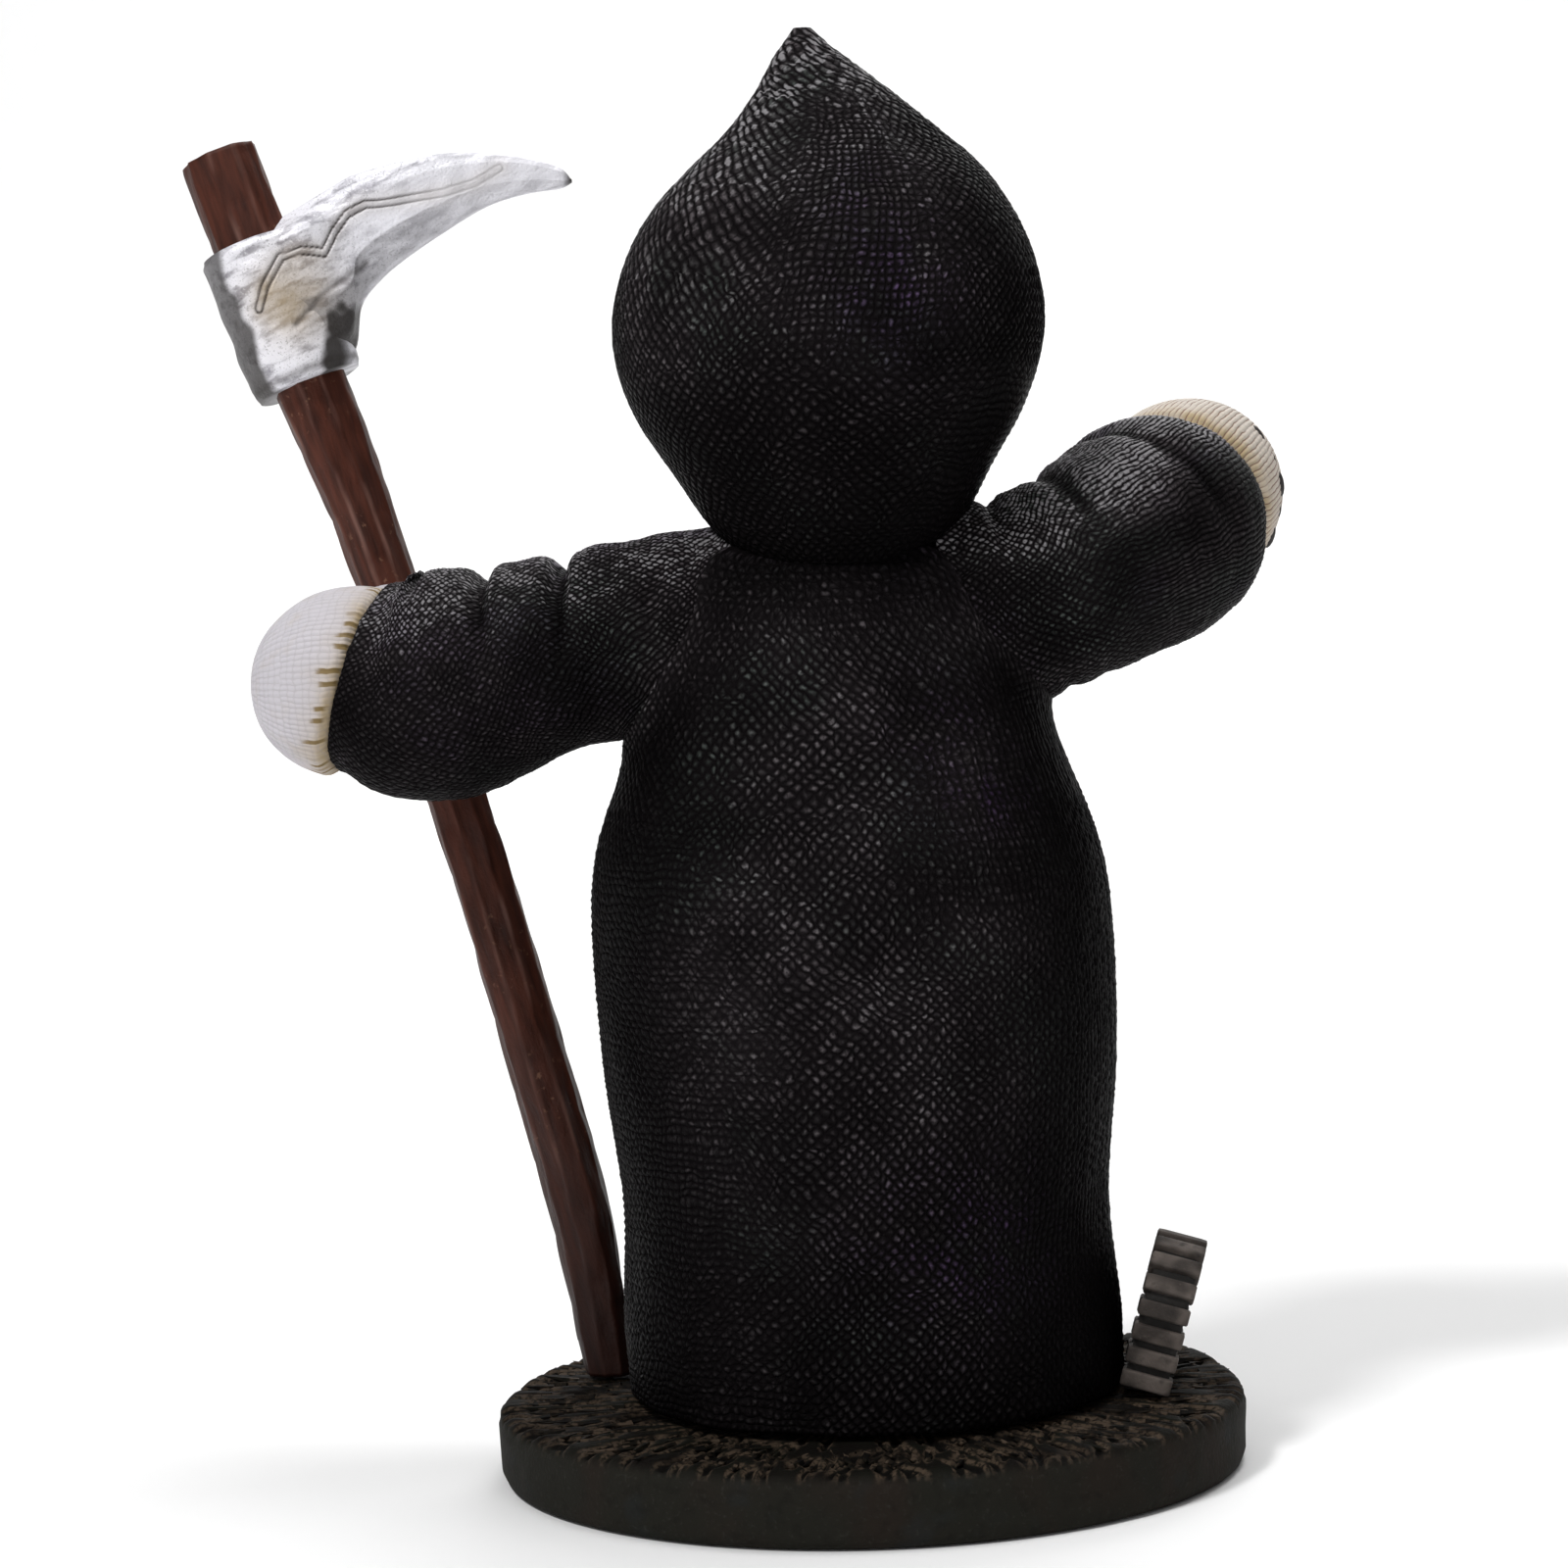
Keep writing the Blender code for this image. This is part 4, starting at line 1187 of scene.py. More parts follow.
@dataclass
class Hood:
    """The pointed hood with its rolled opening."""

    half_width: float = 19.3
    half_depth: float = 18.4
    height: float = 48.8
    robe_height: float = 82.0
    overlap: float = 0.10
    sag: float = 3.6
    columns: int = 360
    pitch: float = 1.1
    relief: float = 0.20
    spots: tuple = ((-5.0, 106.0, 5.0, 6.0, 0.9), (-3.0, 112.0, 4.0, 6.0, 0.5))
    opening_x: float = 0.6
    opening_half_width: float = 12.4
    opening_half_height: float = 14.6
    opening_share: float = 0.42
    lining_depth: float = 9.0
    rim: float = 1.3
    rim_rows: int = 24
    rim_columns: int = 288
    rim_relief: float = 0.14
    profile: tuple = (
        (0.00, 0.360, 0.030), (0.10, 0.595, 0.020), (0.20, 0.755, 0.030), (0.29, 0.893, 0.033),
        (0.38, 0.977, 0.035), (0.48, 1.000, 0.030), (0.59, 0.940, 0.020), (0.68, 0.820, 0.010),
        (0.75, 0.665, -0.005), (0.82, 0.465, 0.000), (0.89, 0.295, 0.035), (0.95, 0.165, 0.080),
        (1.00, 0.040, 0.105),
    )

    @property
    def bottom(self) -> float:
        """The height of the hood's lowest ring."""
        return SEAT + self.robe_height * (1.0 - self.overlap)

    @property
    def opening_z(self) -> float:
        """The height of the opening's middle."""
        return self.bottom + self.height * self.opening_share

    def section(self, share: Array) -> tuple[Array, ...]:
        """Gives the hood's rings.

        Args:
            share: shares of the height.

        Returns:
            Half width, half depth, middle X, middle Y and height at the shares.
        """
        _, width, shift = curve_at(self.profile, share)
        sag = np.maximum(0.0, 1.0 - share / 0.35) ** 1.5
        wide, deep = self.half_width * width, self.half_depth * width * (1.0 + 0.10 * sag)
        return wide, deep, self.half_width * shift, self.sag * sag, self.bottom + self.height * share

    def front(self, x: Array, z: Array) -> Array:
        """Gives the Y of the hood's front at places seen from the front."""
        wide, deep, middle_x, middle_y, _ = self.section((z - self.bottom) / self.height)
        off = np.minimum(1.0, np.abs(x - middle_x) / wide)
        return middle_y - deep * np.sqrt(1.0 - off * off)

    def build(self, material: Material) -> None:
        """Builds the hood and the roll round its opening."""
        fine = np.linspace(0.0, 1.0, 600)
        run = run_along(np.stack([self.section(fine)[k] for k in (0, 4)], -1))
        rows = round(run[-1] / self.pitch) * PER_STITCH + 1
        share = np.interp(np.linspace(0, run[-1], rows), run, fine)
        tall = share[:, None]
        angle = full_turn(self.columns) + 0.22 * ease(0.35, 1.0, tall)
        around = math.pi * sum(self.section(share[1::PER_STITCH])[:2])
        grid = knit_grid(self.section(share), angle, around, self.pitch).wander(200)

        points = grid.points
        inside, outer = self.opening(points)
        across = np.cos(angle)
        high, tip = ease(0.30, 0.50, tall), ease(0.80, 0.92, tall)
        leftward = ease(0.25, 0.60, across + 0.25 * dents(points, 6.0, 3))
        centre = (1.0 - ease(0.2, 0.6, np.abs(across + 0.15))) * high * (1.0 - tip)
        # Painted light and shade: the brushing is dimmed at the hood's foot and on its right side, and
        # brightened higher up and on its left; cloud varies it at random, and there is none inside the
        # opening.
        neck = 0.15 + 0.85 * ease(0.03, 0.16, tall)
        painted_top_light = 0.35 + 0.90 * ease(0.25, 0.50, tall) + 1.8 * ease(0.60, 0.9, tall)
        lit_left = 1.0 + 0.5 * ease(0.2, 0.7, across) * ease(0.45, 0.7, tall)
        painted_shade_right = 1.0 - 0.8 * ease(0.40, 0.90, -across) * (1.0 - tip)
        cloud = 0.45 + 1.1 * value_noise(points, 4.0, 4)
        grid.marks.update(
            slant=np.clip(leftward * high + tip, 0.0, 1.0),
            squares=0.9 * centre * (1.0 - leftward),
            rows=0.8 * ease(0.25, 0.85, -across) * (1.0 - ease(0.30, 0.42, tall)),
            columns=0.0,
            tone=neck * painted_top_light * lit_left * painted_shade_right * cloud * (1.0 - inside),
            tint=soft_spots(points, self.spots),
        )
        relief = self.relief * (0.55 + 0.45 * high)
        fade = (1.0 - ease(0.97, 1.0, tall)) * (1.0 - inside)
        grid.raised((0.45 * dents(points, 8.0, 9) + knit(grid, relief)) * fade)
        grid.points[..., 1] += self.lining_depth * np.sqrt(np.clip(1.0 - outer**6, 0.0, 1.0)) * inside
        settle(grid.build("hood"), "figure", material)
        self.build_rim(material)

    def opening(self, points: Array) -> tuple[Array, Array]:
        """Tells which points lie in the opening, and how far out each is, 1 on its edge."""
        across = (points[..., 0] - self.opening_x) / self.opening_half_width
        outer = np.hypot(across, (points[..., 2] - self.opening_z) / self.opening_half_height)
        return ((outer < 1.0) & (points[..., 1] < 0.0)).astype(float), outer

    def build_rim(self, material: Material) -> None:
        """Builds the knitted roll round the opening."""
        rows, columns = self.rim_rows, self.rim_columns
        turn = full_turn(columns)
        outward = np.stack([np.cos(turn), np.zeros_like(turn), np.sin(turn)], -1)
        x = self.opening_x + self.opening_half_width * np.cos(turn)
        z = self.opening_z + self.opening_half_height * np.sin(turn)
        centre = np.stack([x, self.front(x, z) + 0.2 * self.rim, z], -1)
        back = np.array((0.0, 1.0, 0.0))
        points = np.stack(
            [
                centre + self.rim * (math.cos(a) * outward + math.sin(a) * back)
                for a in np.linspace(2 * math.pi, 0.0, rows + 1)
            ]
        )
        marks = {"slant": 0.35, "squares": 0.0, "rows": 0.0, "columns": 0.35, "tone": 0.9, "tint": 0.0}
        grid = Grid(points, np.full(rows, columns / PER_STITCH), np.arange(rows + 1) / PER_STITCH, marks)
        grid.raised(knit(grid, self.rim_relief))
        grid.points[-1] = grid.points[0]
        settle(grid.build_ring("hood_rim"), "figure", material)


@dataclass
class Sleeve:
    """A stuffed sleeve from shoulder to rolled cuff.

    Attributes:
        stations: rows of the shares of reach, of forward, of rise and of radius along the arm.
        creases: each fold's place along the arm, its width, its depth and the angle it faces.
    """

    name: str
    stations: tuple
    creases: tuple
    reach: float
    forward: float
    arm_height: float
    rise: float
    radius: float = 9.7
    columns: int = 240
    stitch_count: int = 80
    pitch: float = 0.80
    relief: float = 0.15
    roll: float = 0.55
    roll_steps: int = 9
    hem_back: float = 4.0
    hem_steps: int = 6
    wrinkle: float = 0.7
    sheen: float = 4.8
    join: float = 5.0
    ribs: float = 0.9
    ribs_from: float = 0.3

    def path(self, count: int) -> tuple[Array, Array]:
        """Gives evenly spaced places along the sleeve.

        Args:
            count: how many there are.

        Returns:
            The sleeve's centre and its radius at each place.
        """
        out, ahead, up, size = smooth(self.stations, 30).T
        line = np.stack([out * self.reach, -ahead * self.forward, self.arm_height + up * self.rise], axis=1)
        run = run_along(line)
        even = np.linspace(0.0, run[-1], count)
        line = np.stack([np.interp(even, run, line[:, k]) for k in range(3)], axis=1)
        return line, np.interp(even, run, size) * self.radius

    def cuff(self) -> tuple[Array, Array]:
        """Gives the cuff's middle and the way it faces."""
        line, _ = self.path(21)
        return line[-1], unit(line[-1] - line[-2])

    def distance(self, points: Array) -> tuple[Array, Array]:
        """Tells where places are beside the sleeve.

        Args:
            points: the places.

        Returns:
            How far they are outside the sleeve, and its outward direction there.
        """
        away, outward = np.full(points.shape[:-1], FAR), np.zeros_like(points)
        for middle, radius in zip(*self.path(90)):
            apart = points - middle
            length = np.linalg.norm(apart, axis=-1)
            nearer = length - radius < away
            away = np.where(nearer, length - radius, away)
            outward = np.where(nearer[..., None], apart / np.maximum(length, TINY)[..., None], outward)
        return away, outward

    def rings(self, line: Array, radii: Array) -> tuple[Array, Array]:
        """Gives the rings of points round the sleeve and inside its turned-in cuff.

        Args:
            line: the sleeve's centres.
            radii: its radius at each of them.

        Returns:
            The points, and for each how bright the painted shade in the creases leaves it.
        """
        rows, turn, side = len(line), full_turn(self.columns), UP
        reach = max(1, rows // 20)
        made, bright = [], np.ones((rows, self.columns))
        for index, share in enumerate(np.linspace(0.0, 1.0, rows)):
            way = unit(line[min(index + reach, rows - 1)] - line[max(index - reach, 0)])
            side = unit(side - way * side.dot(way))
            radius = np.full(self.columns, radii[index])
            for place, width, depth, angle in self.creases:
                near = math.exp(-(((share - place) / width) ** 2))
                facing = np.maximum(0.0, np.cos(turn - math.radians(angle - 90.0)))
                radius = radius * (1.0 - depth * near * np.sqrt(facing))
                # Painted shade in the creases.
                bright[index] *= 1.0 - 0.9 * near**2 * ease(0.05, 0.5, facing)
            made.append(line[index] + radius[:, None] * spokes(side, np.cross(way, side), turn))
        end, outer = line[-1], made[-1] - line[-1]
        for a in math.pi * np.arange(1, self.roll_steps + 1) / self.roll_steps:
            inner = 1.0 - self.roll * (1.0 - math.cos(a)) / radii[-1]
            made.append(end + outer * inner + way * self.roll * math.sin(a))
        inner = 1.0 - 2.0 * self.roll / radii[-1]
        for k in range(1, self.hem_steps + 1):
            made.append(end + outer * (inner - 0.02 * k) - way * self.hem_back * k / self.hem_steps)
        return np.stack(made), bright[np.minimum(np.arange(len(made)), rows - 1)]

    def build(self, material: Material, robe: Robe) -> None:
        """Builds the sleeve with its cuff turned in, softly joined to the robe.

        Args:
            material: the finish.
            robe: the robe that it leaves.
        """
        length = float(run_along(self.path(200)[0])[-1])
        rows = round(length / self.pitch) * PER_STITCH + 1
        points, bright = self.rings(*self.path(rows))
        total = len(points)
        extra = total - rows
        across = np.full(total - 1, float(self.stitch_count))
        grid = Grid(points, across, np.arange(total) / PER_STITCH).wander(300)
        joined = soft_join(grid, *robe.distance(grid.points), self.join)

        ribbed = ease(self.ribs_from, self.ribs_from + 0.3, np.linspace(0.0, 1.0, rows))
        cuffward = np.append(ribbed, np.ones(extra))[:, None]
        # Painted shade, deepening into the turned-in cuff.
        painted_cuff_shade = np.append(np.ones(rows), np.linspace(1.0, 0.02, extra))[:, None]
        last = np.append(np.ones(rows), np.linspace(0.8, 0.0, extra))[:, None]
        # Painted highlight on the sleeve's upper side, less where it joins the robe.
        upper = ease(0.10, 0.95, np.cos(full_turn(self.columns)))
        lit = 0.80 + self.sheen * upper * (1.0 - 0.8 * joined)
        cloud = 0.35 + 1.3 * value_noise(points, 3.5, 6)
        grid.marks.update(
            slant=0.8 * ease(0.4, 0.6, value_noise(points, 6.0, 12)) * (1.0 - 0.6 * cuffward),
            squares=0.0,
            rows=0.0,
            columns=self.ribs * cuffward,
            tone=bright * painted_cuff_shade * lit * cloud,
            tint=0.25 * ease(0.55, 0.75, value_noise(points, 7.0, 16)),
        )
        crumple = np.abs(dents(points * (1.6, 0.7, 0.7), 5.0, 15)) * 2.0
        folds = self.wrinkle * (np.minimum(crumple, 0.45) - 0.35) * (1.0 - 0.55 * cuffward)
        grid.raised((folds + knit(grid, self.relief)) * last)
        settle(grid.build(self.name), "figure", material)


@dataclass
class Hand:
    """A stuffed mitten hand in a cuff."""

    name: str
    radius: float = 8.9
    reach: float = 9.8
    neck: float = 0.15
    rib_relief: float = 0.06
    size: tuple[int, int, int] = (96, 288, 96)

    def build(self, centre: Array, way: Array, cuff: tuple[Array, Array], material: Material) -> None:
        """Builds the hand.

        Args:
            centre: its middle.
            way: the way it points.
            cuff: the middle of the cuff that it comes out of, and the way that cuff faces.
            material: the finish.
        """
        grid = oval_grid(centre, (self.radius, self.radius, self.reach), way, self.size, 0.9)
        out = (grid.points - cuff[0]) @ cuff[1]
        squeeze = 1.0 - self.neck * (1.0 - ease(-0.4, 1.5, out))
        middle = cuff[0] + cuff[1] * out[..., None]
        grid.points = middle + (grid.points - middle) * squeeze[..., None]
        ragged = out + 1.4 * dents(grid.points, 1.3, 71)
        grid.marks.update(
            # Painted shade where the hand goes into the cuff.
            dark=1.0 - ease(0.1, 0.75, out),
            wash=0.95 * np.exp(-np.maximum(0.0, ragged - 0.7) / 1.2),
            band=ease(0.3, 0.7, ragged) * (1.0 - ease(1.9, 2.4, ragged)),
        )
        ribs = self.rib_relief * (ridge(grid.stitch_places()[0]) ** 0.8 - STITCH_MIDDLE)
        poles = ease(0.1, 0.5, np.sin(polar_angles(self.size[0])))[:, None]
        grid.raised((0.25 * dents(grid.points, 4.0, 73) + ribs) * poles)
        settle(grid.build(self.name), "figure", material)


@dataclass
class Fist:
    """The fist closed round the shaft."""

    half_width: float = 8.0
    half_depth: float = 7.4
    half_height: float = 8.2
    fingers: int = 4
    finger_groove: float = 0.9
    size: tuple[int, int, int] = (110, 168, 56)

    def build(self, centre: Array, lean: Array, material: Material) -> None:
        """Builds the fist, with grooves between its fingers.

        Args:
            centre: its middle.
            lean: the shaft's direction.
            material: the finish.
        """
        grid = oval_grid(centre, (self.half_width, self.half_depth, self.half_height), lean, self.size)
        polar = polar_angles(self.size[0])[:, None]
        groove = ridge((1.0 - np.cos(polar)) * self.fingers / 2) ** 0.5
        front = ease(-0.35, 0.25, -(grid.points[..., 1] - centre[1]) / self.half_depth)
        fade = front * ease(0.15, 0.5, np.sin(polar))
        grid.marks.update(dark=0.0, wash=0.55 * (1.0 - ease(0.2, 0.7, groove)) * fade, band=0.0)
        grid.raised(self.finger_groove * (groove - 1.0) * fade)
        settle(grid.build("fist"), "figure", material)


@dataclass
class Face:
    """A plain stuffed doll's face with two hollows, a small nose pit and a sewn mouth."""

    half_width: float = 11.6
    half_height: float = 13.8
    half_depth: float = 9.0
    recess: float = 1.8
    eye_half_width: float = 3.4
    eye_half_height: float = 4.0
    eye_spread: float = 5.2
    eye_rise: float = 1.6
    eye_depth: float = 1.5
    nose_radius: float = 1.2
    nose_drop: float = 3.4
    mouth_drop: float = 7.4
    mouth_half_width: float = 4.6
    mouth_depth: float = 0.35
    size: tuple[int, int, int] = (116, 216, 72)

    def build(self, hood: Hood, cream: Material, thread: Material) -> None:
        """Builds the face.

        Args:
            hood: the hood whose opening it fills.
            cream: the face's finish.
            thread: the mouth's finish.
        """
        centre = np.array((hood.opening_x, -hood.half_depth + self.recess + self.half_depth, hood.opening_z))
        radii = (self.half_width, self.half_height, self.half_depth)
        grid = oval_grid(centre, radii, (0.0, -1.0, 0.0), self.size)
        x, _, z = np.moveaxis(grid.points - centre, -1, 0)
        front = (grid.points[..., 1] < centre[1]).astype(float)
        away = np.hypot(x / self.nose_radius, (z + self.nose_drop) / (1.3 * self.nose_radius))
        sink = self.nose_radius * (1.0 - ease(0.6, 1.1, away))
        dark = 1.0 - ease(0.75, 1.0, away)
        wash = 0.35 * ease(0.75, 1.0, np.hypot(x / self.half_width, z / self.half_height))
        for side in (-1, 1):
            across = (x - side * self.eye_spread) / self.eye_half_width
            away = np.hypot(across, (z - self.eye_rise) / self.eye_half_height)
            sink = np.maximum(sink, self.eye_depth * (1.0 - ease(0.72, 1.05, away)))
            dark = np.maximum(dark, 1.0 - ease(0.80, 1.0, away))
            wash = np.maximum(wash, 0.6 * (1.0 - ease(0.95, 1.35, away)))
        within = 1.0 - ease(0.9, 1.05, np.abs(x) / self.mouth_half_width)
        mouth = (1.0 - ease(0.15, 0.55, np.abs(z + self.mouth_drop))) * within
        grid.marks.update(dark=np.clip(dark + 0.8 * mouth, 0.0, 1.0) * front, wash=wash * front, band=0.0)
        grid.raised(-(sink + self.mouth_depth * mouth) * front)
        settle(grid.build("face"), "figure", cream)

        across = np.linspace(-self.mouth_half_width + 0.5, self.mouth_half_width - 0.5, 30)
        off = (across / self.half_width) ** 2 + (self.mouth_drop / self.half_height) ** 2
        depth = -self.half_depth * np.sqrt(1.0 - off)
        points = centre + np.stack([across, depth, np.full(30, -self.mouth_drop)], -1)
        StitchRow("mouth_stitches", 2.3, 0.5, 6, (0.0, 0.12, 1.0)).build(points, thread)


@dataclass
class Base:
    """The round turf base with its gouged top and grass."""

    radius: float = 34.1
    thickness: float = 6.4
    edge: float = 1.2
    wave: float = 0.25
    columns: int = 512
    robe_reach: float = 20.0
    wall_relief: float = 0.16
    gouges: int = 680
    gouge_reach: float = 3.6
    seed: int = 11
    grass_inner: float = 22.6
    grass_outer: float = 30.6
    grass_sides: int = 96

    def profile(self) -> Array:
        """Gives the base's outline from the underside round the edge to the middle of the top."""
        r, t, e = self.radius, self.thickness, self.edge
        side = [(r - e, 0.0), (r - 0.3 * e, 0.25 * e), (r, e), (r, t - e)]
        side += [(r - 0.25 * e, t - 0.25 * e), (r - 0.9 * e, t)]
        found = []
        for (r0, z0), (r1, z1) in zip(side[:-1], side[1:]):
            count = max(2, round(math.hypot(r1 - r0, z1 - z0) / 0.4))
            found += [(r0 + (r1 - r0) * k / count, z0 + (z1 - z0) * k / count) for k in range(count)]
        top = (*np.linspace(r - 0.9 * e, self.robe_reach, 44), 14.0, 7.0, 1.0)
        return np.array(found + [(radius, t) for radius in top])

    def build(self, turf: Material, grass: Material) -> None:
        """Builds the base and the grass on it.

        Args:
            turf: the base's finish.
            grass: the blades' finish.
        """
        reach, z = (column[:, None] for column in self.profile().T)
        turn = full_turn(self.columns)
        ripple = self.wave * (0.6 * np.sin(5 * turn + 0.7) + 0.4 * np.sin(11 * turn))
        reach = reach + (ripple * z / self.thickness - self.wave) * (reach > self.robe_reach)
        x, y = reach * np.cos(turn), reach * np.sin(turn)
        z = np.repeat(z, self.columns, axis=1)
        points = np.stack([x, y, z], -1)
        on_top = ease(self.thickness - 0.5, self.thickness - 0.1, z)
        relief = self.gouge_relief(x, y)
        outer = ease(self.robe_reach, self.robe_reach + 2.0, reach)
        wall = self.wall_relief * dents(points, 2.4, 21) * (1.0 - on_top) * ease(0.0, 1.5, z)
        marks = {"relief": np.clip(1.0 - relief, 0.0, 1.0), "rim": on_top}
        grid = Grid(points, np.full(len(z) - 1, 160.0), np.arange(len(z)) / PER_STITCH, marks)
        grid.raised(wall + on_top * outer * (0.35 - 0.75 * relief))
        settle(grid.build("turf_base_body"), "base", turf)
        self.build_grass(grass)

    def gouge_relief(self, x: Array, y: Array) -> Array:
        """Carves the strokes on the top.

        Args:
            x: places across.
            y: places along.

        Returns:
            How deep the strokes are at the places, 0 to 1.
        """
        chance = np.random.default_rng(self.seed)
        deep = np.zeros_like(x)
        for _ in range(self.gouges):
            r = math.sqrt(chance.uniform(self.robe_reach**2, self.radius**2))
            t = chance.uniform(0, 2 * math.pi)
            tilt = t + chance.normal(0.0, 0.30)
            long, thin = chance.uniform(1.2, 2.5), chance.uniform(0.25, 0.42)
            dx, dy = x - r * math.cos(t), y - r * math.sin(t)
            near = (np.abs(dx) < self.gouge_reach) & (np.abs(dy) < self.gouge_reach)
            dx, dy = dx[near], dy[near]
            along = dx * math.cos(tilt) + dy * math.sin(tilt)
            across = -dx * math.sin(tilt) + dy * math.cos(tilt)
            cut = np.exp(-((along / long) ** 2) - (across / thin) ** 2)
            deep[near] = np.maximum(deep[near], cut)
        return deep

    def build_grass(self, material: Material) -> None:
        """Scatters short blades of carved grass round the robe."""
        count, low = self.grass_sides, (self.thickness - 0.05) * MM
        ring = [(math.cos(t) * MM, math.sin(t) * MM) for t in full_turn(count)]
        places = [(r * x, r * y, low) for r in (self.grass_inner, self.grass_outer) for x, y in ring]
        faces = [(k, (k + 1) % count, count + (k + 1) % count, count + k)[::-1] for k in range(count)]
        host = plain_object("grass_ground", places, [], faces)
        sizes = {"Spacing": 1.25 * MM, "Density": 1.3e6, "Blade Length": 3.0 * MM}
        sizes |= {"Blade Radius": 0.46 * MM, "Spread": 0.45, "Lift": 0.11, "Seed": 7}
        pattern = Pattern("grass", sizes)
        size = pattern.size
        ground = {"Mesh": size["Geometry"], "Distance Min": size["Spacing"]}
        ground |= {"Density Max": size["Density"], "Seed": size["Seed"]}
        spots = pattern.node("GeometryNodeDistributePointsOnFaces", ground, distribute_method="POISSON")
        points = spots.outputs["Points"]
        cone = {"Vertices": 5, "Side Segments": 2, "Radius Top": 0.02 * MM}
        cone |= {"Radius Bottom": size["Blade Radius"], "Depth": size["Blade Length"]}
        blade = pattern.node("GeometryNodeMeshCone", cone, fill_type="TRIANGLE_FAN").outputs["Mesh"]
        place = pattern.node("GeometryNodeInputPosition").outputs[0]
        outward = pattern.vector("NORMALIZE", {0: pattern.vector("MULTIPLY", {0: place, 1: (1.0, 1.0, 0.0)})})
        limits = {0: (-1.0, -1.0, -0.22), 1: (1.0, 1.0, 0.08), "Seed": size["Seed"]}
        aside = pattern.node("FunctionNodeRandomValue", limits, data_type="FLOAT_VECTOR").outputs[0]
        spread = pattern.vector("SCALE", {0: aside, "Scale": size["Spread"]})
        lift = pattern.node("ShaderNodeCombineXYZ", {2: size["Lift"]}).outputs[0]
        way = pattern.vector("ADD", {0: pattern.vector("ADD", {0: outward, 1: spread}), 1: lift})
        turned = pattern.turned("Z", way)
        scale = pattern.chance(0.6, 1.1)
        made = pattern.make(host, points, blade, turned, material, "turf_blades", Scale=scale)
        settle(made, "base")


